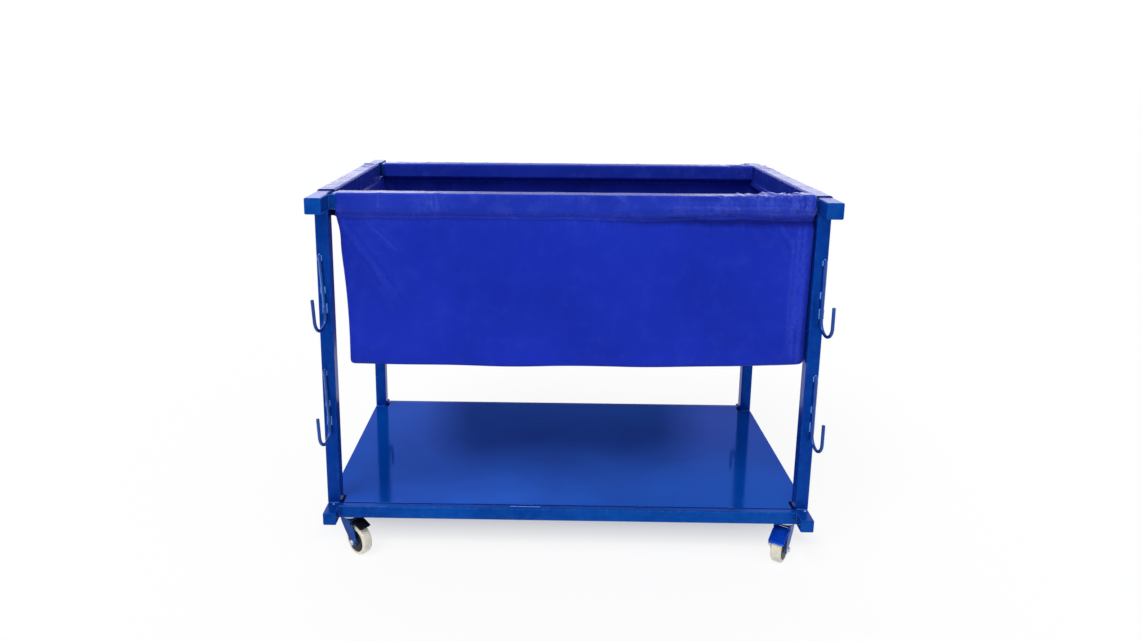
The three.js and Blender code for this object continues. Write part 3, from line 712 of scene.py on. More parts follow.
def hook(end, end_sign, side, sign, row):
    x = sign * (frame_width / 2 - hook_insets[end])
    y = end_sign * (frame_depth / 2 + 0.3 + hook_radius)
    z = shelf_level + hook_rows[row]
    splay, lean, extra = hook_stance.get((end, side, row), (180, 0, 0))
    hung = shift(0, 0, hook_stem)
    place = shift(x, y, z) @ (hung @ turn(-lean, "Y") @ hung.inverted()) @ turn(splay, "Z")
    name = f"hook_{end}_{side}_{row}"
    mesh = moved(domed(hook_line(extra), hook_radius, 20), place)
    piece(f"{name}_bar", mesh, hook_enamel, "hook_paint", 50, (name,))
    face = end_sign * (frame_depth / 2 + 0.9)
    slope = math.tan(math.radians(lean))
    # only on a flank that the leg backs
    for flank in (-1, 1):
        bead_x = x + flank * 4.1
        if abs(bead_x - sign * leg_x) > half_tube - 1.2:
            continue
        # the flank beads take the pale enamel, whose paleness is a painted highlight
        for drop, low, high, radius in stem_beads:
            along = bead_x + drop * slope
            bead((along, face, z + low), (along, face, z + high), radius, kept=glint_meshes)
    seed = next(seeds)
    # the bead across the stem's top, and the thin run down the front left stems, are in the pale enamel too:
    # a painted highlight
    run((x, face, z + hook_stem + 0.6), 0, 2.6, 2.0, seed, glint_meshes)
    if (end, side) == ("front", "left"):
        run_y = y - hook_radius + 0.3
        low_x = x + (hook_stem - 16) * slope
        bead((low_x - 1, run_y, z + 16), (x - 1, run_y, z + hook_stem - 6), 1.0, seed, glint_meshes)
    wall = end_sign * frame_depth / 2
    spatter([((x - 9, wall - 0.1, z + 40), (x + (4 if sign < 0 else 6), wall + 0.1, z + 150))], 4, seed)


for end, end_sign in both_ends:
    for side, sign in both_sides:
        for row in hook_rows:
            hook(end, end_sign, side, sign, row)

# tacks along the shelf's front edge
tack_y, tack_level = -shelf_y - 0.6, shelf_level + 0.8
for start, end in ((-122, -84), (176, 190), (-410, -398), (402, 414)):
    bead((start, tack_y, tack_level), (end, tack_y, tack_level), 1.7)
# a run of weld on the front rail's top and a drop before each front leg's foot, both drawn in the pale enamel
# as a painted highlight
last_seed = next(seeds)
rail_top = bottom_rail_level + tube_side + 0.1
run((-104, -305.5, rail_top), 0, 38, 1.6, last_seed, glint_meshes)
for foot_x in (-583, 590):
    run((foot_x, -307, rail_top), 0, 3.5, 3.4, last_seed, glint_meshes)

piece("weld_beads", joined(weld_meshes), hook_enamel, "frame_paint", 70)
# the beads in the pale enamel, as a painted highlight
piece("weld_beads_painted_glint", joined(glint_meshes), painted_glint_enamel, "hook_paint", 70)

# Shelf, with a notch round each leg
shelf_outline = [(-notch_x, -shelf_y), (notch_x, -shelf_y), (notch_x, -notch_y), (shelf_x, -notch_y),
                 (shelf_x, notch_y), (notch_x, notch_y), (notch_x, shelf_y), (-notch_x, shelf_y),
                 (-notch_x, notch_y), (-shelf_x, notch_y), (-shelf_x, -notch_y), (-notch_x, -notch_y)]
shelf = moved(outline_plate(shelf_outline, shelf_thickness, (), 0.45, 2),
              shift(0, 0, shelf_level + shelf_thickness / 2))
piece("shelf_sheet_painted", shelf, shelf_enamel, "shelf_paint", 12, ("shelf_sheet",))


# Bag panels
def smooth(value, low, high):
    t = np.clip((value - low) / (high - low), 0, 1)
    return t * t * (3 - 2 * t)


def bell(value, centre, width):
    return np.exp(-(((value - centre) / width) ** 2))


def ridge(x, z, start, end, width, height):
    """A soft fold along a line between two places, fading at its ends."""
    ax, az = start
    dx, dz = end[0] - ax, end[1] - az
    length = math.hypot(dx, dz)
    along = ((x - ax) * dx + (z - az) * dz) / length
    off = ((x - ax) * dz - (z - az) * dx) / length
    fade = smooth(along, -0.12 * length, 0.2 * length) * (1 - smooth(along, 0.72 * length, 1.1 * length))
    return height * fade * bell(off, 0, width)


def seam_wave(x):
    """How far the front seam rises and falls along the bag."""
    return (1.2 * np.sin(x / 47.0 + 0.6) + 0.9 * np.sin(x / 23.0 + 2.1) - 5.0 * bell(x, 140, 80)
            + 6.0 * bell(x, 375, 60))


def wall_ring(left, right, rear, radii):
    """Points of a rectangle with rounded corners, from the front left, as many in every ring.
    The radii go front left, front right along X, front right along Y, rear right, rear left."""
    front = -rear
    long_count, short_count, corner_count = ring_counts
    front_left, right_along, right_deep, rear_right, rear_left = radii
    ring = []

    def straight(a, b, n):
        for i in range(n):
            t = i / n
            ring.append((a[0] + (b[0] - a[0]) * t, a[1] + (b[1] - a[1]) * t))

    def corner(cx, cy, radius, start, deep=None):
        for i in range(corner_count):
            angle = math.radians(start + 90 * i / corner_count)
            ring.append((cx + radius * math.cos(angle), cy + (deep or radius) * math.sin(angle)))

    straight((left + front_left, front), (right - right_along, front), long_count)
    corner(right - right_along, front + right_deep, right_along, -90, right_deep)
    straight((right, front + right_deep), (right, rear - rear_right), short_count)
    corner(right - rear_right, rear - rear_right, rear_right, 0)
    straight((right - rear_right, rear), (left + rear_left, rear), long_count)
    corner(left + rear_left, rear - rear_left, rear_left, 90)
    straight((left, rear - rear_left), (left, front + front_left), short_count)
    corner(left + front_left, front + front_left, front_left, 180)
    return np.array(ring)


def bag_walls():
    """The bag's surface as rows of points: down the walls, round the lower edge and in across the floor.
    Each row's level runs from 0 at the rim to 1, 2 and 3 at the ends of these parts."""
    wall_rows = 84
    edge_rows = 8
    floor_rows = 26
    floor_inset = 262
    rows = []
    levels = []

    def add(left_in, right_out, depth, radii, z, level, share=1.0):
        ring = wall_ring(seam_left + left_in, seam_right + right_out, depth, radii)
        lifted = right_rise * (np.clip(ring[:, 0], 0, None) / seam_right) ** 2
        rows.append(np.column_stack([ring, z + lifted * share]))
        levels.append(level)

    floor = rim_level - panel_depth
    for r in range(wall_rows + 1):
        share = r / wall_rows
        drawn = 1 - (1 - share) ** 2.2
        left_in = left_draw * drawn + 5 * math.exp(-((share - 0.12) / 0.1) ** 2)
        bulge = float(right_bulge * smooth(np.array(share), 0.0, 0.05))
        radii = [rim + growth * drawn for rim, growth in zip(rim_corners, corner_growth)]
        drop = (bag_top - (floor + edge_radius)) * share
        add(left_in, bulge, seam_depth - depth_draw * drawn, radii, bag_top - drop, share, share)

    def add_low(inset, z, level):
        radii = [max(rim + growth - inset, 3) for rim, growth in zip(rim_corners, corner_growth)]
        add(left_draw + inset, right_bulge - inset, seam_depth - depth_draw - inset, radii, z, level)

    for k in range(1, edge_rows + 1):
        angle = math.pi / 2 * k / edge_rows
        add_low(edge_radius * (1 - math.cos(angle)), floor + edge_radius - edge_radius * math.sin(angle),
                1 + k / edge_rows)
    for k in range(1, floor_rows + 1):
        inset = edge_radius + (floor_inset - edge_radius) * k / floor_rows
        add_low(inset, floor - floor_sag * smooth(inset, edge_radius, 150), 2 + k / floor_rows)
    return np.array(rows), np.array(levels)


def grid_normals(grid):
    """Outward normals of a grid whose rows go down and whose columns run round from the front left."""
    across = np.roll(grid, -1, axis=1) - np.roll(grid, 1, axis=1)
    normal = np.cross(np.gradient(grid, axis=0), across)
    length = np.linalg.norm(normal, axis=2, keepdims=True)
    return normal / np.maximum(length, 1e-9)


# The front panel's own folds, read off the photograph: from, to, width, and height where outwards is positive
front_ridges = (
    ((-556, 880), (-396, 648), 16, 3.4), ((-530, 884), (-366, 670), 24, -2.6),
    ((-482, 856), (-404, 782), 6, 1.3), ((-466, 858), (-390, 790), 9, -1.0),
    ((330, 846), (500, 824), 9, 1.7), ((250, 834), (470, 808), 14, -1.2), ((80, 858), (330, 842), 8, 1.0),
    ((480, 864), (548, 770), 12, 2.2), ((455, 856), (520, 762), 14, -1.6), ((528, 850), (530, 540), 7, -2.6),
    ((543, 860), (545, 520), 6, 2.2), ((-530, 520), (-430, 560), 14, 1.6), ((520, 530), (440, 575), 16, 1.5),
    ((-520, 560), (-470, 800), 26, -1.6), ((-200, 868), (60, 850), 10, 0.8))


def panel_folds(a, z, seed, strength):
    """Loose folds of a plain panel: slow waves and a few creases hanging from the seam."""
    rng = random.Random(seed)
    hung_from = 872
    f = np.zeros_like(a)
    for _ in range(7):
        wave = rng.uniform(70, 190)
        phase = rng.uniform(0, 6)
        f += strength * 0.35 * np.sin(a / wave * 2 * math.pi + phase + (z - 700) / rng.uniform(180, 420))
    for _ in range(9):
        start = rng.uniform(a.min() + 20, a.max() - 20)
        lean = rng.uniform(-40, 40)
        depth = rng.uniform(60, 240)
        width = rng.uniform(6, 14)
        f += ridge(a, z, (start, hung_from), (start + lean, hung_from - depth), width,
                   strength * rng.uniform(0.5, 1.2))
    return f


bag_grid, bag_levels = bag_walls()
bag_normals = grid_normals(bag_grid)
gx, gy, gz = np.moveaxis(bag_grid, 2, 0)
on_right, on_rear, _ = np.moveaxis(np.clip(bag_normals, 0, 1) ** 3, 2, 0)
on_left, on_front, below = np.moveaxis(np.clip(-bag_normals, 0, 1) ** 3, 2, 0)
share_down = np.clip(bag_levels, 0, 1)[:, None] * np.ones_like(gx)
belly = np.sin(np.pi * share_down)
seam_pucker = bell(gz, bag_top, 26)
right_forward = 8 * smooth(gx, 380, 540) * smooth(share_down, 0.0, 0.12)
front_folds = sum(ridge(gx, gz, *fold) for fold in front_ridges)
push = on_front * (front_folds + 3.5 * belly * np.cos(np.pi * gx / 1180) ** 2 + right_forward)
push += on_front * seam_pucker * (0.9 * np.sin(gx / 9.5 + 2 * np.sin(gx / 61)) + 0.6 * np.sin(gx / 4.3))
push += on_rear * (panel_folds(gx, gz, 5, 1.4) + 3 * belly)
push += on_rear * seam_pucker * 0.8 * np.sin(gx / 8.7 + 2 * np.sin(gx / 57))
push += on_left * (panel_folds(gy, gz, 6, 1.2) - 1.5 * belly)
push += on_right * panel_folds(gy, gz, 7, 0.9) * smooth(250 - np.abs(gy), 0, 40)
push += below * (1.6 * np.sin(gx / 83 + gy / 120) + 1.2 * np.sin(gx / 47 - gy / 64)
                 + 0.8 * np.sin(gy / 31 + 1.3))
free = smooth(share_down, 0.012, 0.07)
push *= free + (1 - free) * 0.25
bag_points = bag_grid + bag_normals * push[..., None]
near_corner = smooth(np.abs(gx), 500, 540) * smooth(np.abs(gy), 200, 262)
side_lift = smooth(np.abs(gx), 548, 556) * smooth(np.abs(gy), 215, 245) * (1 - smooth(np.abs(gy), 255, 260))
bag_points[..., 2] += (near_corner * 6.4 + side_lift * 3.4) * np.clip(1 - share_down * 14, 0, 1)
bag_points[..., 2] += on_front * np.clip(1 - share_down * 6, 0, 1) * seam_wave(gx) * 0.6


def bend(values, axis):
    """How sharply a row of heights bends, where the coat creases and rubs paler."""
    return np.abs(np.gradient(np.gradient(values, axis=axis), axis=axis))


def cloth_mesh(rows, closed, bending):
    """Quads between rows of points in mm, creased where they bend; closed ones end in one face."""
    count = len(rows[0])
    verts = [tuple(p * mm) for row in rows for p in row]
    faces = []
    for r in range(len(rows) - 1):
        for c in range(count if closed else count - 1):
            d = (c + 1) % count
            faces.append((r * count + c, r * count + d, (r + 1) * count + d, (r + 1) * count + c))
    if closed:
        faces.append(tuple(range(len(verts) - 1, len(verts) - count - 1, -1)))
    mesh = bpy.data.meshes.new("cloth")
    mesh.from_pydata(verts, [], faces)
    layer = mesh.attributes.new("crease", "FLOAT", "POINT")
    layer.data.foreach_set("value", np.asarray(np.clip(bending * 2.2, 0, 1), np.float32).ravel())
    bm = bmesh.new()
    bm.from_mesh(mesh)
    return bm


def cloth_piece(name, mesh, cloth, thickness, angle, stands_for=()):
    """A sheet of cloth that is thickened inwards, with the inner cloth's look on the inside."""
    obj = piece(name, mesh, cloth, "tarpaulin", angle, stands_for, even=False)
    mesh.materials.append(inner_cloth)
    wall = obj.modifiers.new("wall", "SOLIDIFY")
    wall.thickness = thickness * mm
    wall.offset = -1
    wall.material_offset = 1
    wall.material_offset_rim = 0


bag = outwards(cloth_mesh(list(bag_points), True, bend(push, 1)))
cloth_piece("bag_panels", bag, tarpaulin, sheet_thickness, 60, ("bag",))


# Sleeves
def sleeve_section(seam_offset, slack):
    """The sleeve's line round a rail: from the hem up the outside, over the top and down inside.
    The first number is outwards from the rail's centre, the second is up; slack lets the underside hang."""
    side = 21.2
    corner = 5.5
    seam = -29
    under = seam - slack
    low = under - 2 - hem
    pts = [(seam_offset + 1.7, z) for z in (low, under - 2 - hem / 2, under - 1)]
    if slack > 0:
        pts += [(seam_offset + (side - seam_offset) * t, under + 0.25 * slack + 1.4 * slack * t ** 3)
                for t in (0.2, 0.45, 0.7, 0.88)]
    else:
        pts += [(seam_offset + (side - seam_offset) * t ** 0.8, seam + 8 * t) for t in (0.15, 0.4, 0.7)]
    pts += [(side, -17 + 32 * i / 6) for i in range(7)]
    pts += arc(side - corner, side - corner, corner, 8, 82, 5)
    pts += [(15 - 30 * i / 6, side) for i in range(7)]
    pts += arc(-side + corner, side - corner, corner, 98, 172, 5)
    pts += [(-side, 15 - 32 * i / 6) for i in range(7)]
    pts += [(-side + (seam_offset - 0.4 + side) * t ** 1.25, -21 - 8 * t) for t in (0.3, 0.6, 0.85)]
    return pts + [(seam_offset - 1.6, under - 1), (seam_offset - 1.7, low)]


def resample(pts, count):
    """The same line with evenly spaced points, and the share of the way round of each."""
    pts = np.array(pts, float)
    seg = np.linalg.norm(np.diff(pts, axis=0), axis=1)
    s = np.concatenate([[0], np.cumsum(seg)])
    t = np.linspace(0, s[-1], count)
    return np.column_stack([np.interp(t, s, pts[:, 0]), np.interp(t, s, pts[:, 1])]), t / s[-1]


def make_sleeve(name, centre, ends, axis, outward, seam_offset, field, wave=lambda a: 0.0, slack=0.0):
    """A sleeve round one rail; field(a, share) says how far the cloth stands proud, in mm."""
    low, high = ends
    section, shares = resample(sleeve_section(seam_offset, slack), 110)
    fine_from = high - far_part
    places = np.concatenate([np.linspace(low, fine_from, int((fine_from - low) / 2.8))[:-1],
                             np.linspace(fine_from, high, 118)])
    tangent = np.gradient(section, axis=0)
    normal = np.column_stack([-tangent[:, 1], tangent[:, 0]])
    normal /= np.linalg.norm(normal, axis=1, keepdims=True)
    away = ((section - np.array([0.0, -4.0])) * normal).sum(axis=1)
    normal *= np.sign(away[len(away) // 2])
    low_part = np.clip((-12 - section[:, 1]) / 14, 0, 1)

    def stood(at, out, height):
        """A place of the section along the rail, as X, Y and Z."""
        if axis == "X":
            return at, centre[1] + outward * out, height
        return centre[0] + outward * out, at, height

    proud = np.array([field(a, shares) for a in places])
    rows = []
    for a, stand in zip(places, proud):
        pts = section + normal * stand[:, None]
        heights = centre[2] + pts[:, 1] + wave(a) * low_part
        rows.append(np.column_stack(np.broadcast_arrays(*stood(a, pts[:, 0], heights))))
    bm = cloth_mesh(rows, False, bend(proud, 0) + bend(proud, 1))
    bm.normal_update()
    if max(bm.verts, key=lambda v: v.co.z).normal.z < 0:
        bmesh.ops.reverse_faces(bm, faces=bm.faces)
    cloth_piece(name, finished(bm), sleeve_cloth, sleeve_thickness, 80)

    stitches = []
    level = -29 - slack - 2 - hem * 0.4
    for face in (1.7 + 0.15, -1.7 - 0.95):
        at = low + 4
        while at < high - 4:
            height = centre[2] + level + wave(at)
            line = []
            for step, dip in ((0.0, 0.0), (0.2, 0.35), (0.8, 0.35), (1.0, 0.0)):
                out = seam_offset + face + math.copysign(dip, face)
                line.append(stood(at + stitch_length * step, out, height))
            stitches.append(tube(line, [0.42] * len(line), 6))
            at += stitch_step
    piece(f"{name}_stitches", joined(stitches), thread, "tarpaulin", 60)


def sleeve_field(ends, seed, bunch, marks=(), overhang=0.0):
    """Wrinkles along a sleeve: a few slack folds, more where it is bunched at its far end, and given marks.
    Each fold is (place, slant, width, height, middle share, reach in shares)."""
    low, high = ends
    rng = random.Random(seed)
    folds = []
    for _ in range(int((high - low) / 60)):
        folds.append((rng.uniform(low, high), rng.uniform(-28, 28), rng.uniform(4, 9), rng.uniform(0.3, 0.9),
                      rng.uniform(0.15, 0.5), rng.uniform(0.1, 0.24)))
    for _ in range(48):
        far = rng.random() ** 1.5
        folds.append((high - far * far_part - 4, rng.choice((-1, -1, 1)) * rng.uniform(8, 40),
                      rng.uniform(3.2, 7.0), bunch * (1 - 0.7 * far) * rng.uniform(0.5, 1.0),
                      rng.uniform(0.2, 0.62), rng.uniform(0.05, 0.12)))
    folds += marks
    place, slant, width, height, mid, reach = np.array(folds).T[:, :, None]

    def field(a, share):
        line = place + slant * (share - mid) * 3
        f = (height * bell(a, line, width) * bell(share, mid, reach)).sum(axis=0)
        edge = min(1.0, min(a - low, high - a) / 6 + 0.35)
        slack = 0.25 * np.sin(a / 31 + share * 5) + 0.2 * np.sin(a / 13 + share * 9)
        keep = smooth(share, 0.08, 0.17) * (1 - smooth(share, 0.84, 0.93))
        swing = overhang * smooth(np.array(a), 60.0, 420.0)
        swing *= 1 + 0.35 * math.sin(a / 17) + 0.25 * math.sin(a / 7.3)
        return np.clip((f * edge + slack * 0.6) * keep + 0.3, 0, 5.6) + swing * bell(share, 0.205, 0.055)
    return field


front_marks = [
    (112, -40, 4.5, 1.2, 0.36, 0.09), (182, -34, 4.0, 1.1, 0.36, 0.09), (346, -46, 5.0, 2.0, 0.36, 0.1),
    (440, 34, 4.0, 1.8, 0.36, 0.09), (456, -26, 3.5, 1.6, 0.35, 0.1), (250, -30, 6.0, 0.8, 0.36, 0.1),
    (-300, -52, 9.0, 0.7, 0.33, 0.11), (-120, -44, 8.0, 0.6, 0.36, 0.11), (20, -38, 7.0, 0.6, 0.36, 0.11),
    (388, -42, 5.0, 2.0, 0.37, 0.08), (412, -38, 4.5, 1.8, 0.36, 0.09), (486, -30, 5.0, 2.4, 0.38, 0.07),
    (512, -34, 4.5, 2.6, 0.36, 0.07), (536, -24, 4.0, 2.6, 0.34, 0.08), (548, 18, 3.6, 2.2, 0.28, 0.07)]
make_sleeve("bag_sleeve_front", (0, -top_rail_y, top_centre), sleeve_ends, "X", -1, 9.8,
            sleeve_field(sleeve_ends, 11, 5.4, front_marks, 5.4),
            lambda a: float(seam_wave(np.array(a))) * 0.6)
make_sleeve("bag_sleeve_rear", (0, top_rail_y, top_centre), sleeve_ends, "X", 1, 9.8,
            sleeve_field(sleeve_ends, 12, 1.6))
make_sleeve("bag_sleeve_left", (-leg_x, 0, top_centre), left_sleeve_ends, "Y", -1, -26.4,
            sleeve_field(left_sleeve_ends, 13, 1.4), lambda a: -7 * math.exp(-((a + 250) / 60) ** 2), 8)
make_sleeve("bag_sleeve_right", (leg_x, 0, top_centre), right_sleeve_ends, "Y", 1, -24.4,
            sleeve_field(right_sleeve_ends, 14, 1.8))

# Castor parts
sideways = turn(-90, "X")
about_axle = shift(trail, 0, axle_height) @ sideways


def raised(level, profile, sign=1):
    """A lathe's profile with its heights counted from a level, and turned over for a sign of -1."""
    return [(radius, sign * (level + height)) for radius, height in profile]


def castor_plate():
    corner_x, corner_y, corner_radius = 39, 25, 7
    slot_x, slot_y, slot_radius, slot_reach = 36, 22, 4.25, 2.25
    outline = []
    for x, y, start in ((corner_x, corner_y, 0), (-corner_x, corner_y, 90), (-corner_x, -corner_y, 180),
                        (corner_x, -corner_y, 270)):
        outline += arc(x, y, corner_radius, start, start + 90, 8)
    slots = []
    for x in (-slot_x, slot_x):
        for y in (-slot_y, slot_y):
            slots.append(arc(x + slot_reach, y, slot_radius, -90, 90, 10)
                         + arc(x - slot_reach, y, slot_radius, 90, 270, 10))
    return moved(outline_plate(outline, plate_thickness, slots, 0.5, 2),
                 shift(0, 0, castor_height - plate_thickness / 2))


def castor_race():
    """The upper race with its skirt, and the kingpin's head below it."""
    under = castor_height - plate_thickness
    outer = 24
    bend = 2.6
    profile = [(0, under + 0.5), (19, under + 0.5)]
    for angle in (20, 45, 70, 90):
        a = math.radians(angle)
        profile.append((outer - bend + bend * math.sin(a), under - bend + bend * math.cos(a)))
    profile += raised(under, [(outer, -7.9), (23.6, -8.4), (22.8, -8.5), (22.2, -8.1), (22.2, -4.9),
                              (20.5, -4.4), (6, -4.4)])
    return lathe(profile + [(6, 89.9), (8.6, 89.7), (9.5, 88.9), (9.5, 88.2), (8.4, 87.5), (5.2, 87.1),
                            (4.4, 87.6), (0, 87.7)])


def castor_balls():
    middle = crown_top + 0.3 + 2.5
    circle = 16.2
    count = 16
    meshes = []
    for i in range(count):
        angle = 2 * math.pi * i / count
        ball = bmesh.new()
        bmesh.ops.create_uvsphere(ball, u_segments=14, v_segments=10, radius=2.45 * mm)
        place = shift(circle * math.cos(angle), circle * math.sin(angle), middle)
        meshes.append(moved(finished(ball), place))
    cage = lathe(raised(middle, [(13.2, 0.45), (19.1, 0.45), (19.3, 0), (19.1, -0.45), (13.2, -0.45)]), 64)
    return joined([*meshes, cage])


def curved(p, q, r, n):
    """Points of a smooth curve from p to r that leans towards q, without p."""
    return [tuple((1 - t) ** 2 * a + 2 * t * (1 - t) * b + t * t * c for a, b, c in zip(p, q, r))
            for t in [i / n for i in range(1, n + 1)]]


def castor_fork(braked):
    """One stamping: a folded strip trimmed to the legs' outline, with holes for what goes through it."""
    inside = fork_gap / 2
    bottom = crown_top - fork_sheet
    foot = axle_height - 15
    inner_bend = 2
    outer_bend = inner_bend + fork_sheet
    section = [(-fork_outer, foot), (-inside, foot)]
    section += arc(-inside + inner_bend, bottom - inner_bend, inner_bend, 180, 90, 6)
    section += arc(inside - inner_bend, bottom - inner_bend, inner_bend, 90, 0, 6)
    section += [(inside, foot), (fork_outer, foot)]
    section += arc(fork_outer - outer_bend, crown_top - outer_bend, outer_bend, 0, 90, 8)
    section += arc(-fork_outer + outer_bend, crown_top - outer_bend, outer_bend, 90, 180, 8)
    skirt = crown_top - 9
    eye = 12.5
    back = -21
    side = [(back, crown_top + 2), (back, skirt)]
    side += curved((back, skirt), (-10.5, axle_height + 25), (trail - eye, axle_height), 14)
    side += arc(trail, axle_height, eye, 180, 360, 22)[1:]
    side += curved((trail + eye, axle_height), (trail + eye, axle_height + 12.5), (26, skirt), 12)
    side += [(23, skirt + 3), (23, crown_top + 2)]
    fork = combined(prism(section, -60, 75, "YZ"), [prism(side, -26, 26)], "INTERSECT")
    cuts = [prism(arc(trail, axle_height, 4.3, 0, 345, 23), -30, 30),
            prism(arc(0, 0, 6.3, 0, 350, 35), crown_top - 8, crown_top + 8, "XY")]
    if braked:
        cuts.append(prism(arc(*pedal_pin, 3.3, 0, 345, 23), -30, 30))
    return with_modifiers(combined(fork, cuts, "DIFFERENCE"), bevel(0.5, 50))


def castor_wheel():
    half = 14
    radius = 37.45
    shoulder = 32.4
    profile = raised(half, [(4.3, -0.4), (4.8, 0), (8.4, 0), (9, -0.5), (9, -3.2), (23.4, -3.2), (24, -2.7),
                            (24, -1.7), (24.6, -1.2), (shoulder, -1.2)])
    for angle in (20, 40, 60, 80):
        a = math.radians(angle)
        profile.append((shoulder + (radius - shoulder) * math.sin(a), 8 + (half - 1.2 - 8) * math.cos(a)))
    profile += [(radius, 6.5), (radius, 0.35), (radius + 0.12, 0)]
    return moved(lathe(profile + [(r, -y) for r, y in reversed(profile[:-1])], 120), about_axle)


def castor_cover(sign):
    seat = 14 - 3.2 + 0.3
    profile = [(9.6, 0), (9.6, 2.2), (10.4, 2.9), (15, 3.1), (22, 3), (26.4, 2.7), (28.4, 2.2), (28.9, 1.9),
               (24.4, 1.85), (23.2, 0.4), (22.8, 0)]
    return moved(lathe(raised(seat, profile, sign), 96), about_axle)


def castor_axle():
    """A hexagon bolt with its washer, thread, nut and collar."""
    out = rivet_seat

    def hexagon(height, level):
        outline = [(7.3 * math.cos(math.radians(60 * i + 30)), 7.3 * math.sin(math.radians(60 * i + 30)))
                   for i in range(6)]
        return moved(outline_plate(outline, height, (), 0.55, 3), shift(0, 0, level))

    turns = []
    y = -out - 6.2
    while y > -out - 8.6:
        turns += [(3.55, y), (4.0, y - 0.3)]
        y -= 0.62
    return moved(joined([
        hexagon(5.3, out + 2.65),
        lathe(raised(out, [(0, 0.6), (7.9, 0.6), (8.2, 0.3), (7.9, 0), (0, 0)]), 48),
        hexagon(6.0, -(out + 3.4)),
        lathe([(0, out + 5.4), (4, out + 5.4), (4, -out - 6), *turns, (3.2, -out - 9), (0, -out - 9)], 36),
        lathe(raised(out, [(0, 6.4), (6.3, 6.4), (6, 7.2), (4.3, 7.4), (0, 7.4)], -1), 40),
    ]), about_axle)


def pedal_hub():
    pin_x, pin_z = pedal_pin
    hub = arc(pin_x, pin_z, 5, 270, 90, 14) + [(33, pin_z + 5), (33, pin_z + 2.5), (pin_x + 5.4, pin_z + 2.5)]
    hub += arc(pin_x + 5.4 + 0.6, pin_z + 1.9, 0.6, 90, 180, 4)[1:] + [(pin_x + 5, pin_z - 4.4)]
    return with_modifiers(prism(hub, -15, 15), bevel(0.45, 40))


def pedal_pad(width, length):
    """The tread: a sheet that slopes down, turns down at its lip and has ribs across."""
    slope = math.radians(16)
    lip_slope = math.radians(50)
    root = Vector((30.5, 0, 87))
    line = []
    for i in range(13):
        s = length * i / 12
        line.append((root.x + s * math.cos(slope), root.z - s * math.sin(slope), slope))
    for i in range(1, 5):
        angle = slope + (lip_slope - slope) * i / 4
        px, pz, _ = line[-1]
        line.append((px + math.cos(angle), pz - math.sin(angle), angle))
    bm = bmesh.new()
    rows = []
    columns = 24
    for i, (px, pz, angle) in enumerate(line):
        far = i / (len(line) - 1)
        corner = max(0.0, (far - 0.8) / 0.2)
        near = max(0.0, (0.1 - far) / 0.1)
        reach = width - 4.5 * (1 - math.sqrt(max(0.0, 1 - corner ** 2))) - 2.5 * near ** 2
        ribbed = 2 <= i <= 11
        row = []
        for c in range(columns + 1):
            y = -reach + 2 * reach * c / columns
            lift = 0.5 * (1 - (y / width) ** 2)
            if ribbed and abs(y) < reach - 3.2:
                lift += 0.45 * max(0.0, math.sin((i - 1.5) * math.pi / 1.5))
            place = Vector((px + lift * math.sin(angle), y, pz + lift * math.cos(angle)))
            row.append(bm.verts.new(place * mm))
        rows.append(row)
    for a, b in zip(rows, rows[1:]):
        for c in range(columns):
            bm.faces.new((a[c], a[c + 1], b[c + 1], b[c]))
    bmesh.ops.recalc_face_normals(bm, faces=bm.faces)
    if sum(f.normal.z for f in bm.faces) < 0:
        bmesh.ops.reverse_faces(bm, faces=bm.faces)
    return with_modifiers(finished(bm), ("SOLIDIFY", {"thickness": 2.5 * mm, "offset": -1}), bevel(0.5, 50))


def brake_pedal(width, length, tilt):
    pin = shift(pedal_pin[0], 0, pedal_pin[1])
    head = [(0, 1.5), (2.4, 1.5), (3.8, 1.2), (4.5, 0.5), (4.5, 0), (3, 0)]
    rivet = lathe(raised(rivet_seat, head) + raised(rivet_seat, head[::-1], -1), 40)
    moved(rivet, pin @ sideways)
    pedal = joined([pedal_hub(), pedal_pad(width, length), rivet])
    return moved(pedal, pin @ turn(tilt, "Y") @ pin.inverted())


forks = {braked: castor_fork(braked) for braked in (False, True)}
plate, race, balls, wheel, axle = castor_plate(), castor_race(), castor_balls(), castor_wheel(), castor_axle()
cover_a, cover_b = castor_cover(1), castor_cover(-1)
# the front left pedal is drawn in black plastic as painted shade: it stands for a pedal like the front right
# one, seen edge-on in shade
pedal_looks = {"front_left": (black_plastic, "pedal_black"), "front_right": (pedal_enamel, "pedal_blue")}
for name, (stand_x, stand_y, heading) in castor_stands.items():
    stand = shift(stand_x, stand_y, 0)
    turned = stand @ turn(heading, "Z")
    swivel = f"{name}_swivel"
    rolls = f"{name}_wheel"
    fork = forks[name in pads]
    # each piece's own name, mesh, material, place, body, slot, shading angle, and the solid it stands for
    parts = [
        ("mounting_plate", plate, castor_enamel, stand, body, "zinc", 35, "castor_plate"),
        ("race", race, zinc, stand, body, "zinc", 35, None),
        ("bearing", balls, bearing_steel, stand, body, "bearing_steel", 40, "castor_balls"),
        ("stamped_fork", fork, castor_enamel, turned, swivel, "castor_paint", 30, "castor_fork"),
        ("moulded_wheel", wheel, wheel_nylon, turned, rolls, "wheel_nylon", 35, "castor_wheel"),
        ("thread_cover_a", cover_a, black_plastic, turned, rolls, "cover_black", 35, "castor_cover_a"),
        ("thread_cover_b", cover_b, black_plastic, turned, rolls, "cover_black", 35, "castor_cover_b"),
        ("axle_bolt", axle, zinc, turned, swivel, "zinc", 30, "castor_axle")]
    if name in pads:
        look, slot = pedal_looks[name]
        pedal = brake_pedal(*pads[name])
        parts.append(("pedal_plate", pedal, look, turned, f"{name}_pedal", slot, 35, "brake_pedal"))
    for own, mesh, material, place, rides, slot, angle, solid in parts:
        stands_for = (f"{name}_{solid}",) if solid else ()
        piece(f"{name}_{own}", moved(mesh.copy(), place), material, slot, angle, stands_for, rides)


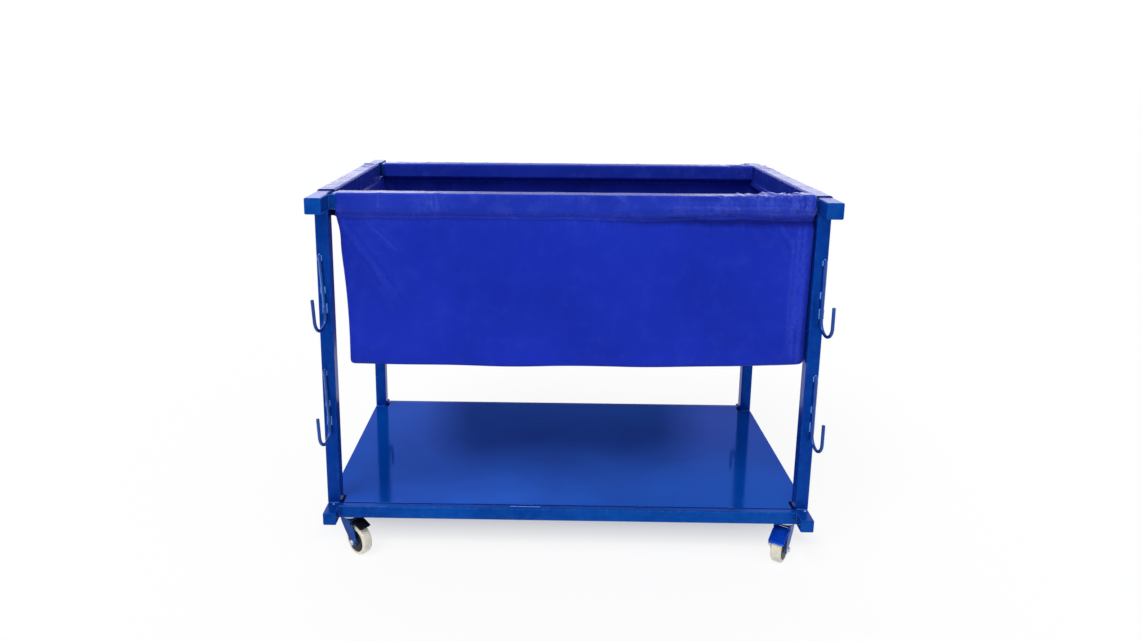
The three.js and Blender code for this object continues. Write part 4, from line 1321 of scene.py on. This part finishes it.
# Floor, world and lamps
def white_floor():
    """A pale floor with a white glow that lights nothing, less of it under the cart, in the shadow."""
    bm = bmesh.new()
    bmesh.ops.create_grid(bm, x_segments=1, y_segments=1, size=40)
    mesh = finished(bm)
    m = new_material("floor_white")
    paint = m.node("BsdfDiffuse", {"Color": (0.96, 0.96, 0.96, 1)})
    glow = m.node("Emission", {"Color": (1, 1, 1, 1), "Strength": 1.0})
    beside = m.rise(m.math("ABSOLUTE", m.axis("X")), 0.5, 0.68)
    before = m.rise(m.math("ABSOLUTE", m.axis("Y")), 0.11, 0.25)
    share = m.span(m.math("MAXIMUM", beside, before), 0.0, 1.0, 0.4, 0.88)
    m.blend(m.times(m.seen(), share), paint, glow)
    mesh.materials.append(m.owner)
    placed("floor", mesh)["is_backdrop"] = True


def white_world():
    scene.world = bpy.data.worlds.new("studio")
    m = Nodes(scene.world)
    soft = m.node("Background", {"Color": (0.93, 0.96, 1, 1), "Strength": 0.46})
    white = m.node("Background", {"Color": (1, 1, 1, 1), "Strength": 1.0})
    m.blend(m.seen(), soft, white)


def dark_flag(left, right, bottom, top, y, soft):
    """A grey cloth behind the cart with soft edges, which only the gloss of the paint shows."""
    bm = bmesh.new()
    corners = ((left, bottom), (right, bottom), (right, top), (left, top))
    bm.faces.new([bm.verts.new(Vector((x, y, z)) * mm) for x, z in corners])
    mesh = finished(bm)
    m = new_material("dark_flag")
    share = 1.0
    for name, low, high in (("X", left, right), ("Z", bottom, top)):
        place = m.axis(name)
        share = m.times(share, m.rise(place, low * mm, (low + soft) * mm),
                        m.fall(place, (high - soft) * mm, high * mm))
    m.blend(share, m.node("BsdfTransparent", {}), m.node("BsdfDiffuse", {"Color": (0.36, 0.36, 0.36, 1)}))
    mesh.materials.append(m.owner)
    flag = placed("dark_flag", mesh)
    flag.visible_camera = False
    flag.visible_diffuse = False
    flag.visible_transmission = False
    flag.visible_shadow = False
    flag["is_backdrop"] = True


def lamp(name, kind, direction, energy):
    """A lamp that shines along a direction."""
    obj = placed(name, bpy.data.lights.new(name, kind))
    obj.data.energy = energy
    obj.rotation_euler = Vector(direction).to_track_quat("-Z", "Y").to_euler()
    return obj


def flash(place, width, power):
    """A small round lamp beside the camera that puts short glints on beads, rods and rounded edges."""
    obj = lamp("flash", "AREA", Vector((0, 0, 600)) - Vector(place), power)
    obj.data.shape = "DISK"
    obj.data.size = width * mm
    obj.location = Vector(place) * mm


white_floor()
white_world()
dark_flag(-760, 900, 300, 1500, 2200, 280)
# soft far lights: direction, strength and spread
for name, direction, strength, spread in (
        ("key", (0.42, 0.62, -1.05), 1.55, 28), ("fill", (-0.7, 0.8, -0.9), 0.35, 60),
        ("back", (0.1, -0.7, -1.0), 0.4, 50), ("low_left", (0.29, -0.94, -0.165), 0.085, 18),
        ("low_right", (-0.34, -0.92, -0.165), 0.085, 18)):
    lamp(name, "SUN", direction, strength).data.angle = math.radians(spread)
flash((-60, -2000, 1300), 110, 1.3)

# Camera, at the photograph's viewpoint, with its angles in radians
image_width = 1140
image_height = 641
focal_pixels = 782.6
principal_u = 534.47
principal_v = 220.0
camera_yaw = -0.01446
camera_pitch = 0.19395
camera_roll = -0.00724
camera_place = Vector((-60.54, -2083.36, 1217.04)) * mm
sensor_width = 36

forward = Vector((math.sin(camera_yaw) * math.cos(camera_pitch),
                  math.cos(camera_yaw) * math.cos(camera_pitch), -math.sin(camera_pitch)))
level = Vector((math.cos(camera_yaw), -math.sin(camera_yaw), 0))
down = forward.cross(level)
right = level * math.cos(camera_roll) + down * math.sin(camera_roll)
down = down * math.cos(camera_roll) - level * math.sin(camera_roll)
camera_data = bpy.data.cameras.new("camera")
camera_data.sensor_width = sensor_width
camera_data.sensor_fit = "HORIZONTAL"
camera_data.lens = focal_pixels / image_width * sensor_width
camera_data.shift_x = (image_width / 2 - principal_u) / image_width
camera_data.shift_y = (principal_v - image_height / 2) / image_width
camera = placed("camera", camera_data)
facing = Matrix((right, -down, -forward)).transposed()
camera.matrix_world = Matrix.Translation(camera_place) @ facing.to_4x4()
scene.camera = camera

scene.view_settings.view_transform = "Standard"

low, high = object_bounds()
